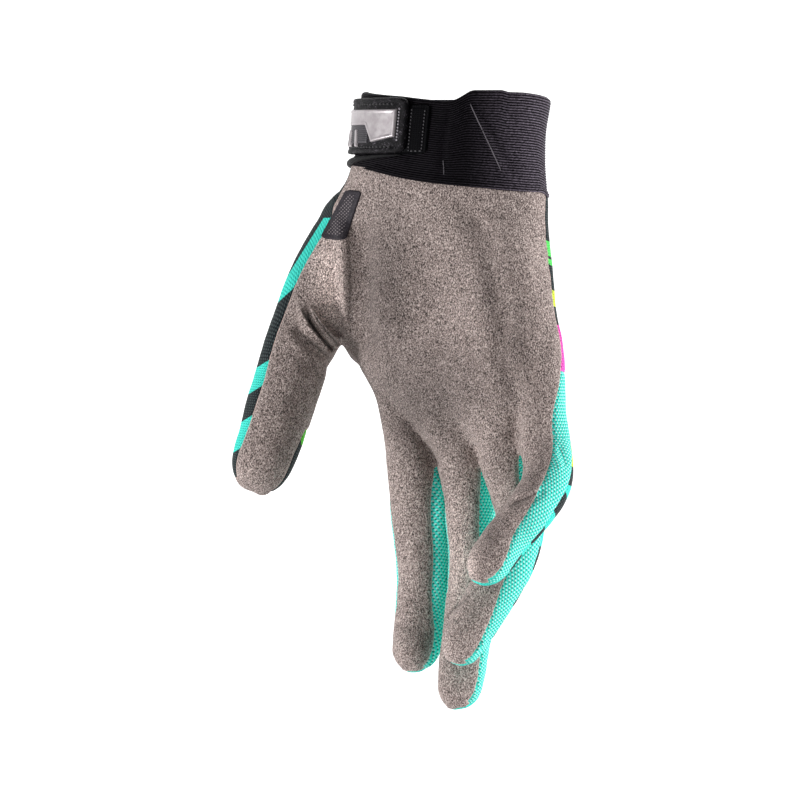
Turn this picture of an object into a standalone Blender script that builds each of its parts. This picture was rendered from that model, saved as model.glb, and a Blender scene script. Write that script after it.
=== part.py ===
"""Motocross glove for the right hand, worn shape, hanging by its wrist opening with the fingers down.

The glove is one hollow surface: a palm tube that divides into four finger tubes at the webs, with a thumb
tube grown from its radial side. That surface is cut along its seams into sewn panels, each a closed wall.
X runs from the thumb to the little finger, the palm faces -Y, and +Z points up the forearm.
The origin is in the wrist opening, on the line of the forearm. Tables are in millimetres and degrees.
"""

import math
from collections import namedtuple

import bmesh
import bpy
import numpy as np
from mathutils import Vector
from mathutils.bvhtree import BVHTree

MM = 0.001

# Walls and gaps
CLOTH = 1.2
SEAM_GAP = 0.32
CUFF_WALL = 2.0
STRAP_WALL = 1.8
PATCH_WALL = 0.7
LABEL_WALL = 0.6
BADGE_WALL = 0.9
SEAT_GAP = 0.3
MITRE_LEAST = 0.5

# Columns and rows of the surface: each finger has 4 columns on its front and back and 4 on each side
PER_FINGER = 4
SIDE = 4
FRONT = 4 * PER_FINGER
AROUND = 2 * (FRONT + SIDE)
ULNAR = FRONT
BACK = FRONT + SIDE
RADIAL = BACK + FRONT
PALM_ROWS = 15
THUMB_TOP_ROW = 1
THUMB_CROTCH_ROW = 9
SIDE_PANEL_ROW = 10
FINGER_RINGS = 13
THUMB_ROOT_RINGS = 5
THUMB_RINGS = 8

# A fingertip rounds off over a little more than its half width, with two rings on its shoulder
TIP_REACH = 1.15
SHOULDER_ANGLES = (32, 55)
TIP_POWER = 2.2

# Palm tube from the wrist to the webs
PalmSection = namedtuple("PalmSection", "z x y half_width half_depth tilt")
PALM_SECTIONS = [
    PalmSection(0, 3.6, 0.0, 36.8, 24.0, 0.00),
    PalmSection(-18, 1.4, 0.0, 36.2, 23.5, 0.00),
    PalmSection(-36, -0.6, 0.0, 39.2, 22.0, 0.00),
    PalmSection(-51, -0.7, -1.0, 41.4, 19.5, -0.02),
    PalmSection(-66, 0.0, -2.0, 43.4, 17.8, -0.04),
    PalmSection(-81, 1.2, -3.0, 44.8, 17.0, -0.06),
    PalmSection(-96, 4.3, -3.6, 45.4, 16.2, -0.08),
    PalmSection(-107, 10.0, -4.2, 41.4, 15.4, -0.10),
    PalmSection(-120, 12.8, -4.8, 40.4, 14.2, -0.12),
    PalmSection(-138, 15.6, -5.6, 38.0, 12.6, -0.13),
]
SQUARENESS = 0.92

# The seam between cuff and hand falls from the thumb side to the little finger side
CUFF_SEAM_Z = -32.8
CUFF_SEAM_FALL = 0.105

# The cuff's free edge: it dips beside the strap, stands up over the palm and lies lower at the back
EdgePoint = namedtuple("EdgePoint", "angle z")
CUFF_EDGE = [
    EdgePoint(7, -4.0),
    EdgePoint(26, 0.1),
    EdgePoint(50, 0.1),
    EdgePoint(69, -0.9),
    EdgePoint(90, -1.8),
    EdgePoint(108, -2.8),
    EdgePoint(135, -5.2),
    EdgePoint(225, -5.6),
    EdgePoint(270, -2.4),
    EdgePoint(290, 0.2),
    EdgePoint(342, -1.9),
]

# Angles from the front of the palm tube to its seams, by share of the way from cuff to webs
SeamAngle = namedtuple("SeamAngle", "share radial_front radial_back ulnar_front ulnar_back")
SEAM_ANGLES = [
    SeamAngle(0.00, 68, 112, 99, 106),
    SeamAngle(0.10, 58, 122, 99, 107),
    SeamAngle(0.35, 50, 124, 99, 108),
    SeamAngle(0.60, 84, 122, 99, 110),
    SeamAngle(0.75, 92, 118, 94, 112),
    SeamAngle(1.00, 86, 116, 70, 114),
]
LOBES_START = 0.66
LOBES_POWER = 1.4

# Fingers: the middle of the finger, its half sizes, which way its pad turns, and where its seams lie
Station = namedtuple("Station", "x y z half_width half_depth turn seam")
BACK_SEAM = 128
FINGERS = {
    "index": [
        Station(-13.2, -2.0, -138.0, 10.0, 9.8, 0, 74),
        Station(-10.9, -3.0, -158.4, 9.9, 9.4, 0, 54),
        Station(-8.6, -5.0, -173.0, 9.8, 9.0, 0, 52),
        Station(-7.0, -9.0, -190.0, 9.3, 8.5, 0, 50),
        Station(-6.4, -14.0, -202.8, 9.0, 7.9, 0, 74),
        Station(-6.0, -18.4, -214.3, 7.6, 7.2, 0, 80),
    ],
    "middle": [
        Station(7.0, -1.2, -138.0, 9.8, 9.8, -2, 72),
        Station(10.4, -2.2, -152.8, 9.8, 9.5, -4, 50),
        Station(12.6, -5.0, -167.6, 9.5, 9.2, -4, 44),
        Station(14.2, -9.0, -184.3, 9.4, 8.8, -4, 50),
        Station(14.9, -15.0, -200.5, 9.4, 8.4, -4, 66),
        Station(15.2, -20.0, -212.5, 9.0, 7.8, -4, 76),
        Station(16.8, -26.5, -227.6, 7.7, 7.0, -4, 80),
    ],
    "ring": [
        Station(26.4, -6.5, -138.0, 9.4, 9.6, -8, 72),
        Station(32.0, -8.4, -149.0, 9.2, 9.3, -14, 52),
        Station(35.6, -12.2, -158.4, 9.1, 9.1, -18, 48),
        Station(36.4, -18.3, -168.6, 9.6, 8.8, -20, 48),
        Station(31.9, -26.2, -183.4, 9.5, 8.5, -18, 50),
        Station(26.4, -33.1, -196.4, 8.8, 8.0, -12, 70),
        Station(21.7, -40.2, -210.4, 7.4, 7.0, -10, 78),
    ],
    "little": [
        Station(44.8, -10.0, -132.2, 9.4, 9.4, -12, 60),
        Station(47.8, -13.8, -140.4, 9.3, 9.2, -18, 54),
        Station(48.6, -20.6, -147.8, 9.2, 9.0, -24, 54),
        Station(46.4, -29.2, -156.0, 9.0, 8.7, -26, 54),
        Station(41.8, -37.4, -165.0, 8.5, 8.3, -22, 60),
        Station(39.0, -44.2, -172.6, 8.2, 7.9, -12, 72),
        Station(36.0, -50.8, -180.4, 7.2, 6.9, -8, 78),
    ],
}

# Thumb from where it leaves the palm; its two front seams differ
ThumbStation = namedtuple("ThumbStation", "x y z half_width half_depth turn outer inner")
THUMB_BACK_SEAM = 130
THUMB = [
    ThumbStation(-41.9, -3.0, -68.0, 20.0, 13.0, 30, 62, 100),
    ThumbStation(-47.6, -9.0, -79.0, 16.5, 12.6, 36, 62, 100),
    ThumbStation(-52.2, -14.0, -90.0, 14.2, 12.2, 42, 62, 98),
    ThumbStation(-55.4, -18.0, -101.4, 13.0, 11.8, 46, 62, 94),
    ThumbStation(-58.6, -22.0, -115.8, 12.5, 11.4, 46, 60, 84),
    ThumbStation(-61.8, -26.0, -131.4, 11.8, 10.6, 44, 66, 74),
    ThumbStation(-67.0, -29.8, -147.6, 11.8, 9.8, 42, 74, 74),
]
THUMB_ROOT_END = 3
THUMB_LEAVES = (-0.80, -0.25, -0.55)
ROOT_PULL = 0.39

# Where the cloth between thumb and palm evens out
Soft = namedtuple("Soft", "x y z reach")
SOFT_SPOTS = [
    Soft(-37, -15, -50, 12),
    Soft(-40, -16, -68, 15),
    Soft(-42, -17, -86, 14),
    Soft(-39, 3, -95, 9),
]
SOFT_ROUNDS = 24

# Mounds and hollows of the palm, raised towards the viewer where the height is positive
Mound = namedtuple("Mound", "x z reach_x reach_z height")
MOUNDS = [
    Mound(-24, -74, 13, 26, 3.0),
    Mound(30, -70, 12, 34, 2.6),
    Mound(4, -84, 13, 26, -2.4),
    Mound(24, -112, 7, 20, -1.6),
]
MOUND_FADE_SHARE = 1 / 6
MOUND_SIDE_FADE = 9.0

# Cuff, strap, patch, badge and label, by angle round the cuff and height
CUFF_ROWS = 7
CUFF_RADIUS = 31.0
STRAP_END_ANGLE = -9
STRAP_ROOT_ANGLE = -196
STRAP_TOP = -2.4
STRAP_HEIGHT = 20.6
STRAP_CORNER = 3.2
STRAP_STEPS = 22
STRAP_ROWS = 4
PATCH_ANGLES = (-44, 2)
PATCH_Z = (-23.4, -5.0)
PATCH_STEPS = 9
PATCH_ROWS = 4
BADGE_END_ANGLE = -17.5
BADGE_LENGTH = 44.0
BADGE_BAND = 6.2
BADGE_BLOCK = (8.2, 13.0)
BADGE_BLOCK_RISE = 0.6
BADGE_BLOCK_SLANT = 2.2
BADGE_CHAMFER = 1.0
BADGE_TOP = -6.6
BADGE_RIBS = 4
BADGE_RIB = (2.0, 11.6)
BADGE_RIB_START = 5.6
BADGE_RIB_STEP = 7.4
BADGE_BEND_STEP = 2.5
LABEL_VIEW = 26
LABEL_STEPS = 8
LABEL_STAND_OFF = 60
LABEL_FALL_BACK = 50
LabelCorner = namedtuple("LabelCorner", "across z")
LABEL_CORNERS = [
    LabelCorner(-37.4, -36.6),
    LabelCorner(-31.8, -36.9),
    LabelCorner(-38.2, -55.0),
    LabelCorner(-46.4, -54.2),
]
LABEL_CORNER_CUT = 0.12

Finish = namedtuple("Finish", "name colour roughness metallic")
SUEDE = Finish("taupe_suede", (0.30, 0.25, 0.235), 0.95, 0.0)
MESH = Finish("turquoise_mesh", (0.02, 0.62, 0.50), 0.75, 0.0)
PRINT = Finish("printed_back_fabric", (0.05, 0.06, 0.07), 0.75, 0.0)
KNIT = Finish("black_ribbed_knit", (0.020, 0.018, 0.022), 0.85, 0.0)
WEBBING = Finish("black_strap_cloth", (0.030, 0.028, 0.034), 0.70, 0.0)
HOOK = Finish("black_hook_tape", (0.012, 0.012, 0.014), 0.80, 0.0)
RUBBER = Finish("silver_moulded_rubber", (0.62, 0.60, 0.60), 0.38, 0.25)
LABEL = Finish("charcoal_label", (0.055, 0.052, 0.060), 0.60, 0.0)


def smoothstep(share):
    """0 below 0, 1 above 1, and a smooth rise between."""
    share = np.clip(share, 0.0, 1.0)
    return share * share * (3.0 - 2.0 * share)


def read_table(knots, rows, at):
    """The smooth curve through every row of a table, read at each value of at."""
    knots = np.asarray(knots, float)
    rows = np.asarray(rows, float)
    at = np.asarray(at, float)
    slope = np.gradient(rows, knots, axis=0)
    low = np.clip(np.searchsorted(knots, at) - 1, 0, len(knots) - 2)
    span = (knots[low + 1] - knots[low])[..., None]
    u = (at - knots[low])[..., None] / span
    start = (1 + 2 * u) * (1 - u) ** 2 * rows[low] + u * (1 - u) ** 2 * span * slope[low]
    end = u * u * (3 - 2 * u) * rows[low + 1] - u * u * (1 - u) * span * slope[low + 1]
    return start + end


def palm_section(z):
    """x, y, half width, half depth and tilt of the palm tube at height z."""
    knots = [-s.z for s in PALM_SECTIONS]
    rows = [s[1:] for s in PALM_SECTIONS]
    return read_table(knots, rows, -np.asarray(z, float))


def tube_point(z, angle, lift=0.0):
    """Points on the palm tube at heights z and angles from the front, moved out by lift."""
    x, y, half_width, half_depth, tilt = np.moveaxis(palm_section(z), -1, 0)
    across = np.sin(np.radians(angle))
    ahead = np.cos(np.radians(angle))
    across = np.sign(across) * np.abs(across) ** SQUARENESS
    ahead = np.sign(ahead) * np.abs(ahead) ** SQUARENESS
    dx = (half_width + lift) * across
    dy = -(half_depth + lift) * ahead + tilt * dx
    return np.stack([x + dx, y + dy, np.broadcast_to(z, dx.shape)], axis=-1)


def seam_z(x):
    """Height of the seam between cuff and hand at x."""
    return CUFF_SEAM_Z - CUFF_SEAM_FALL * x


def ring_angles(front_left, front_right, back_left, back_right, front_steps):
    """Angles round a finger: across its front, down its right side, across its back, up its left side."""
    front = np.linspace(-front_left, front_right, front_steps + 1)
    right = np.linspace(front_right, back_right, SIDE + 1)[1:-1]
    back = np.linspace(back_right, 360 - back_left, front_steps + 1)
    left = np.linspace(360 - back_left, 360 - front_left, SIDE + 1)[1:-1]
    return np.concatenate([front, right, back, left])


def finger_frames(path, turns):
    """Side and pad directions of a finger at each point of its path."""
    along = np.gradient(path, axis=0)
    along /= np.linalg.norm(along, axis=1, keepdims=True)
    turns = np.radians(turns)
    pad = np.stack([np.sin(turns), -np.cos(turns), np.zeros_like(turns)], axis=1)
    pad -= np.sum(pad * along, axis=1, keepdims=True) * along
    pad /= np.linalg.norm(pad, axis=1, keepdims=True)
    return np.cross(pad, along), pad


def digit_rings(stations, rings, front_steps, back_seam):
    """The rings of a finger or thumb tube from its first station to the shoulder of its tip, then its cap."""
    table = np.array(stations, float)
    chord = np.concatenate([[0], np.cumsum(np.linalg.norm(np.diff(table[:, :3], axis=0), axis=1))])
    tip_reach = table[-1, 3] * TIP_REACH
    shoulder = chord[-1] - tip_reach
    rounding = tip_reach * np.sin(np.radians(SHOULDER_ANGLES))
    at = np.concatenate([np.linspace(0, shoulder, rings - 2), shoulder + rounding])
    rows = read_table(chord, table, at)
    path, half_width, half_depth, turn = rows[:, :3], rows[:, 3], rows[:, 4], rows[:, 5]
    narrowing = np.sqrt(1 - np.clip((at - shoulder) / tip_reach, 0, 1) ** TIP_POWER)
    side, pad = finger_frames(path, turn)
    ringed = []
    for i in range(len(at)):
        left_seam, right_seam = rows[i, 6], rows[i, -1]
        angles = np.radians(ring_angles(left_seam, right_seam, back_seam, back_seam, front_steps))
        wide = half_width[i] * narrowing[i] * np.sin(angles)[:, None]
        deep = half_depth[i] * narrowing[i] * np.cos(angles)[:, None]
        ringed.append(path[i] + wide * side[i] + deep * pad[i])
    end = read_table(chord, table, chord[-1:])[0, :3]
    return np.array(ringed), end


class Surface:
    """Vertices and quads of the glove, each quad with the name of its panel."""

    def __init__(self):
        self.points = []
        self.quads = []
        self.panels = []

    def add(self, point):
        """Adds a vertex and returns its number."""
        self.points.append(np.asarray(point, float))
        return len(self.points) - 1

    def add_ring(self, ring):
        """Adds the vertices of a ring and returns their numbers."""
        return [self.add(point) for point in ring]

    def quad(self, panel, *corners):
        """Adds a quad whose corners run anticlockwise seen from outside."""
        self.quads.append(corners)
        self.panels.append(panel)

    def bridge(self, upper, lower, panel_of):
        """Joins two rings of the same count with quads; panel_of gives each column's panel."""
        count = len(upper)
        for j in range(count):
            k = (j + 1) % count
            self.quad(panel_of(j), upper[j], lower[j], lower[k], upper[k])

    def cap(self, ring, front_steps, end, panel_of_row):
        """Closes a fingertip with a grid of quads that bulges to its end point."""
        across, through = front_steps, SIDE
        grid = np.full((through + 1, across + 1), -1)
        grid[0, :] = ring[: across + 1]
        grid[:, across] = ring[across : across + through + 1]
        grid[through, ::-1] = ring[across + through : 2 * across + through + 1]
        grid[1:through, 0] = ring[: 2 * across + through : -1]
        points = np.array([self.points[i] for i in ring])
        middle = points.mean(axis=0)
        for a in range(1, through):
            for b in range(1, across):
                u, v = 2 * b / across - 1, 2 * a / through - 1
                left, right = self.points[grid[a, 0]], self.points[grid[a, across]]
                front, back = self.points[grid[0, b]], self.points[grid[through, b]]
                level = (left * (1 - u) + right * (1 + u) + front * (1 - v) + back * (1 + v)) / 4
                rise = (1 - u**4) * (1 - v**4)
                grid[a, b] = self.add(level + (end - middle) * rise)
        for a in range(through):
            for b in range(across):
                corners = grid[a, b], grid[a + 1, b], grid[a + 1, b + 1], grid[a, b + 1]
                self.quad(panel_of_row(a), *corners)


def finger_base_rings():
    """Rings of the four fingers, with the corners of neighbours made one at the webs."""
    rings = {}
    ends = {}
    for name, stations in FINGERS.items():
        rings[name], ends[name] = digit_rings(stations, FINGER_RINGS, PER_FINGER, BACK_SEAM)
    names = list(FINGERS)
    for left, right in zip(names, names[1:]):
        right_side = slice(PER_FINGER, PER_FINGER + SIDE + 1)
        mine = rings[left][0][right_side]
        order = [0, *range(2 * PER_FINGER + 2 * SIDE - 1, 2 * PER_FINGER + SIDE - 1, -1)]
        shared = (mine + rings[right][0][order]) / 2
        rings[left][0][right_side] = shared
        rings[right][0][order] = shared
    return rings, ends


def palm_columns(rings):
    """The last row of the palm tube: the fronts, ulnar side, backs and radial side of the finger bases."""
    names = list(FINGERS)
    front = [rings[n][0][:PER_FINGER] for n in names] + [rings["little"][0][PER_FINGER : PER_FINGER + SIDE]]
    start = PER_FINGER + SIDE
    back = [rings[n][0][start : start + PER_FINGER] for n in reversed(names)]
    radial = [rings["index"][0][start + PER_FINGER :]]
    return np.concatenate(front + back + radial)


def column_angles(share):
    """Angle of every column of the palm tube at a share of the way from cuff to webs."""
    table = np.array(SEAM_ANGLES, float)
    radial_front, radial_back, ulnar_front, ulnar_back = read_table(table[:, 0], table[:, 1:], share)
    front = np.linspace(-radial_front, ulnar_front, FRONT + 1)
    ulnar = np.linspace(ulnar_front, ulnar_back, SIDE + 1)[1:]
    back = np.linspace(ulnar_back, 360 - radial_back, FRONT + 1)[1:]
    radial = np.linspace(360 - radial_back, 360 - radial_front, SIDE + 1)[1:-1]
    return np.concatenate([front, ulnar, back, radial])


def palm_rows(base):
    """Every row of the palm tube, from the cuff seam to the webs, as rows of columns."""
    rows = []
    for row in range(PALM_ROWS + 1):
        share = row / PALM_ROWS
        angles = column_angles(share)
        top = tube_point(np.full(AROUND, CUFF_SEAM_Z), column_angles(0.0))
        z = (1 - share) * seam_z(top[:, 0]) + share * base[:, 2]
        smooth = tube_point(z, angles)
        drift = palm_section(z)[:, :2] - palm_section(base[:, 2])[:, :2]
        lobed = base.copy()
        lobed[:, :2] += drift
        lobed[:, 2] = z
        weight = smoothstep((share - LOBES_START) / (1 - LOBES_START)) ** LOBES_POWER
        rows.append((1 - weight) * smooth + weight * lobed)
    return np.array(rows)


def raise_mounds(points):
    """Lifts the front of the palm over the mounds and sinks it over the hollows."""
    front = smoothstep((palm_section(points[:, 2])[:, 1] - points[:, 1] - 1.0) / MOUND_SIDE_FADE)
    lift = np.zeros(len(points))
    for mound in MOUNDS:
        across = (points[:, 0] - mound.x) / mound.reach_x
        up = (points[:, 2] - mound.z) / mound.reach_z
        lift += mound.height * np.exp(-(across**2) - up**2)
    points[:, 1] -= lift * front
    return points


def thumb_root(hole, first_ring, arriving):
    """Rings from the hole in the palm's side to the thumb: each column is a Bezier curve."""
    reach = np.linalg.norm(first_ring - hole, axis=1, keepdims=True) * ROOT_PULL
    leave = hole + np.array(THUMB_LEAVES) * reach
    arrive = first_ring - arriving * reach
    rings = []
    for u in np.linspace(0, 1, THUMB_ROOT_RINGS + 1)[1:]:
        near = (1 - u) ** 3 * hole + 3 * u * (1 - u) ** 2 * leave
        rings.append(near + 3 * u * u * (1 - u) * arrive + u**3 * first_ring)
    return rings


def even_out(points, quads):
    """Moves the points near each soft spot towards the mean of their neighbours, a few times over."""
    quads = np.array(quads)
    ends = np.concatenate([quads[:, [i, (i + 1) % 4]] for i in range(4)])
    weight = np.zeros(len(points))
    for spot in SOFT_SPOTS:
        away = np.linalg.norm(points - np.array(spot[:3]), axis=1) / spot.reach
        weight = np.maximum(weight, 0.5 * np.exp(-(away**4)))
    for _ in range(SOFT_ROUNDS):
        total = np.zeros_like(points)
        count = np.zeros(len(points))
        for a, b in ((0, 1), (1, 0)):
            np.add.at(total, ends[:, a], points[ends[:, b]])
            np.add.at(count, ends[:, a], 1)
        points = points + (total / count[:, None] - points) * weight[:, None]
    return points


def glove_surface():
    """The whole hand of the glove as one surface."""
    surface = Surface()
    rings, ends = finger_base_rings()
    base = palm_columns(rings)
    rows = palm_rows(base)
    flat = raise_mounds(rows[:-1].reshape(-1, 3)).reshape(PALM_ROWS, AROUND, 3)
    blend = smoothstep(np.arange(PALM_ROWS) / PALM_ROWS / MOUND_FADE_SHARE)[:, None, None]
    rows[:-1] = (1 - blend) * rows[:-1] + blend * flat
    in_hole = np.zeros((PALM_ROWS + 1, AROUND), bool)
    in_hole[THUMB_TOP_ROW + 1 : THUMB_CROTCH_ROW, RADIAL + 1 : AROUND] = True
    number = np.full((PALM_ROWS + 1, AROUND), -1)
    for row in range(PALM_ROWS + 1):
        for column in range(AROUND):
            if not in_hole[row, column]:
                number[row, column] = surface.add(rows[row, column])

    def palm_panel(row, column):
        if column < ULNAR:
            return "palm_panel"
        if column < BACK and row >= SIDE_PANEL_ROW:
            return "little_side_panel"
        if column >= RADIAL and row >= THUMB_CROTCH_ROW:
            return "index_side_panel"
        return "back_panel"

    for row in range(PALM_ROWS):
        for column in range(AROUND):
            after = (column + 1) % AROUND
            if column >= RADIAL and THUMB_TOP_ROW <= row < THUMB_CROTCH_ROW:
                continue
            corners = number[row, column], number[row + 1, column], number[row + 1, after], number[row, after]
            surface.quad(palm_panel(row, column), *corners)

    add_fingers(surface, rings, ends, number[PALM_ROWS])
    add_thumb(surface, number)
    points = even_out(np.array(surface.points), surface.quads)
    return points, surface.quads, surface.panels


def add_fingers(surface, rings, ends, last_row):
    """Grows the four finger tubes from the last row of the palm."""
    names = list(FINGERS)
    start = PER_FINGER + SIDE
    web = None
    for f, name in enumerate(names):
        front = [int(last_row[PER_FINGER * f + i]) for i in range(PER_FINGER + 1)]
        back_first = BACK + PER_FINGER * (len(names) - 1 - f)
        back = [int(last_row[back_first + i]) for i in range(PER_FINGER + 1)]
        left = list(reversed(web)) if web else [int(i) for i in last_row[RADIAL + 1 :]]
        if f < len(names) - 1:
            web = surface.add_ring(rings[name][0][PER_FINGER + 1 : start])
            right = web
        else:
            right = [int(i) for i in last_row[ULNAR + 1 : BACK]]
        left_panel = "index_side_panel" if f == 0 else f"web_gusset_{names[f - 1]}_{name}"
        right_panel = "little_side_panel" if f == 3 else f"web_gusset_{name}_{names[f + 1]}"

        def panel_of(column, left_panel=left_panel, right_panel=right_panel):
            if column < PER_FINGER:
                return "palm_panel"
            if column < start:
                return right_panel
            return "back_panel" if column < start + PER_FINGER else left_panel

        ring = front + right + back + left
        for nodes in rings[name][1:]:
            below = surface.add_ring(nodes)
            surface.bridge(ring, below, panel_of)
            ring = below
        surface.cap(ring, PER_FINGER, ends[name], lambda row: "palm_panel" if row < SIDE // 2 else "back_panel")


def add_thumb(surface, number):
    """Grows the thumb tube from the hole in the palm's radial side."""
    steps = THUMB_CROTCH_ROW - THUMB_TOP_ROW
    hole = [int(number[row, 0]) for row in range(THUMB_TOP_ROW, THUMB_CROTCH_ROW)]
    hole += [int(number[THUMB_CROTCH_ROW, column % AROUND]) for column in range(AROUND, RADIAL, -1)]
    hole += [int(number[row, RADIAL]) for row in range(THUMB_CROTCH_ROW, THUMB_TOP_ROW, -1)]
    hole += [int(number[THUMB_TOP_ROW, column]) for column in range(RADIAL, AROUND)]
    rings, end = digit_rings(THUMB[THUMB_ROOT_END:], THUMB_RINGS, steps, THUMB_BACK_SEAM)
    path = np.array([s[:3] for s in THUMB], float)
    along = np.gradient(path, axis=0)
    along /= np.linalg.norm(along, axis=1, keepdims=True)
    hole_points = np.array([surface.points[i] for i in hole])
    root = thumb_root(hole_points, rings[0], along[THUMB_ROOT_END])

    def panel_of(column):
        return "palm_panel" if column < steps else "thumb_back_panel"

    ring = hole
    for nodes in root + list(rings[1:]):
        below = surface.add_ring(nodes)
        surface.bridge(ring, below, panel_of)
        ring = below
    surface.cap(ring, steps, end, lambda row: "palm_panel" if row < SIDE // 2 else "thumb_back_panel")


def outward(points, quads):
    """Unit normals of the whole surface at its vertices."""
    corners = points[np.array(quads)]
    face = np.cross(corners[:, 2] - corners[:, 0], corners[:, 3] - corners[:, 1])
    normal = np.zeros_like(points)
    for corner in range(4):
        np.add.at(normal, np.array(quads)[:, corner], face)
    return normal / np.linalg.norm(normal, axis=1, keepdims=True)


def make_object(name, points, faces, finish):
    """An object with a mesh in metres and its own material."""
    mesh = bpy.data.meshes.new(name)
    mesh.from_pydata((np.asarray(points) * MM).tolist(), [], [list(map(int, f)) for f in faces])
    mesh.validate()
    mesh.shade_smooth()
    mesh.set_sharp_from_angle(angle=math.radians(50))
    obj = bpy.data.objects.new(name, mesh)
    bpy.context.scene.collection.objects.link(obj)
    material = bpy.data.materials.get(finish.name) or bpy.data.materials.new(finish.name)
    material.use_nodes = True
    shader = material.node_tree.nodes["Principled BSDF"]
    shader.inputs["Base Color"].default_value = (*finish.colour, 1.0)
    shader.inputs["Roughness"].default_value = finish.roughness
    shader.inputs["Metallic"].default_value = finish.metallic
    mesh.materials.append(material)
    return obj


def thick_panel(name, points, normals, quads, wall, finish):
    """A closed wall under one panel, drawn back from its neighbours by half a seam gap."""
    used = sorted({i for quad in quads for i in quad})
    local = {i: n for n, i in enumerate(used)}
    faces = [[local[i] for i in quad] for quad in quads]
    outer = points[used].copy()
    edges = set()
    for face in faces:
        edges.update(zip(face, face[1:] + face[:1]))
    rim = [(a, b) for (a, b) in edges if (b, a) not in edges]
    inwards = {}
    for a, b in rim:
        way = np.cross(normals[used[a]] + normals[used[b]], points[used[b]] - points[used[a]])
        for corner in (a, b):
            inwards.setdefault(corner, []).append(way / np.linalg.norm(way))
    for corner, ways in inwards.items():
        mitre = np.sum(ways, axis=0) / max(1 + ways[0] @ ways[-1], MITRE_LEAST)
        outer[corner] += mitre * SEAM_GAP / 2
    inner = outer - normals[used] * wall
    count = len(used)
    walls = []
    for a, b in rim:
        if used[a] < used[b]:
            walls += [[b, a, b + count], [a, a + count, b + count]]
        else:
            walls += [[b, a, a + count], [b, a + count, b + count]]
    backs = [[i + count for i in reversed(face)] for face in faces]
    return make_object(name, np.concatenate([outer, inner]), faces + backs + walls, finish)


def grid_slab(name, outer, inner, finish):
    """A closed slab between two grids of points, such as a strap or a label."""
    rows, columns = outer.shape[:2]
    index = np.arange(rows * columns).reshape(rows, columns)
    count = rows * columns
    faces = []
    for r in range(rows - 1):
        for c in range(columns - 1):
            face = [index[r, c], index[r + 1, c], index[r + 1, c + 1], index[r, c + 1]]
            faces.append(face)
            faces.append([i + count for i in reversed(face)])
    ring = [*index[:-1, 0], *index[-1, :-1], *index[:0:-1, -1], *index[0, :0:-1]]
    for a, b in zip(ring, ring[1:] + ring[:1]):
        faces.append([b, a, a + count, b + count])
    return make_object(name, np.concatenate([outer.reshape(-1, 3), inner.reshape(-1, 3)]), faces, finish)


def cuff_top(angle):
    """Height of the cuff's free edge at each angle, read round the closed table of its edge."""
    angles = [point.angle for point in CUFF_EDGE]
    heights = [point.z for point in CUFF_EDGE]
    return np.interp(np.mod(angle, 360), angles, heights, period=360)


def cuff_band():
    """The ribbed knit cuff: a tapering tube from the wrist opening to the seam."""
    angle = column_angles(0.0)
    foot = tube_point(np.full(AROUND, CUFF_SEAM_Z), angle)
    foot_z = seam_z(foot[:, 0]) + SEAT_GAP
    share = np.linspace(0, 1, CUFF_ROWS)[:, None]
    z = (1 - share) * cuff_top(angle) + share * foot_z
    angle = np.broadcast_to(angle, z.shape)
    outer = tube_point(z, angle)
    inner = tube_point(z, angle, -CUFF_WALL)
    points = np.concatenate([outer.reshape(-1, 3), inner.reshape(-1, 3)])
    count = CUFF_ROWS * AROUND
    low = count - AROUND
    faces = []
    for r in range(CUFF_ROWS - 1):
        for c in range(AROUND):
            d = (c + 1) % AROUND
            face = [r * AROUND + c, (r + 1) * AROUND + c, (r + 1) * AROUND + d, r * AROUND + d]
            faces.append(face)
            faces.append([i + count for i in reversed(face)])
    for c in range(AROUND):
        d = (c + 1) % AROUND
        faces.append([c, d, d + count, c + count])
        faces.append([low + d, low + c, low + c + count, low + d + count])
    return make_object("cuff_band", points, faces, KNIT)


def rounded_ends(length, height, corner, steps):
    """Positions along a strap and the top and bottom edges there, with round corners at its start."""
    start = corner * (1 - np.cos(np.linspace(0, math.pi / 2, 4)))
    along = np.concatenate([start, np.linspace(corner, length, steps)[1:]])
    inset = corner - np.sqrt(np.clip(corner**2 - (corner - np.minimum(along, corner)) ** 2, 0, None))
    return along, inset, height - inset


def strap_grid(lift):
    """The strap's surface at a height above the cuff: from its free end round the thumb side to the back."""
    turned = STRAP_END_ANGLE - STRAP_ROOT_ANGLE
    length = math.radians(turned) * CUFF_RADIUS
    along, top, bottom = rounded_ends(length, STRAP_HEIGHT, STRAP_CORNER, STRAP_STEPS)
    angle = STRAP_END_ANGLE - along / length * turned
    across = np.linspace(0, 1, STRAP_ROWS)[None, :]
    z = STRAP_TOP - (top[:, None] * (1 - across) + bottom[:, None] * across)
    return tube_point(z, np.broadcast_to(angle[:, None], z.shape), lift)


def closure_strap():
    """The wrist strap, lying over the hook patch on the cuff."""
    low = SEAT_GAP + PATCH_WALL + SEAT_GAP
    over_patch = strap_grid(low)
    return grid_slab("closure_strap", strap_grid(low + STRAP_WALL), over_patch, WEBBING)


def hook_patch():
    """The hook tape patch sewn on the cuff under the strap's free end."""
    angle = np.linspace(PATCH_ANGLES[1], PATCH_ANGLES[0], PATCH_STEPS)[:, None]
    z = np.linspace(PATCH_Z[1], PATCH_Z[0], PATCH_ROWS)[None, :]
    angle, z = np.broadcast_arrays(angle, z)
    outer = tube_point(z, angle, SEAT_GAP + PATCH_WALL)
    return grid_slab("hook_patch", outer, tube_point(z, angle, SEAT_GAP), HOOK)


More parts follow.
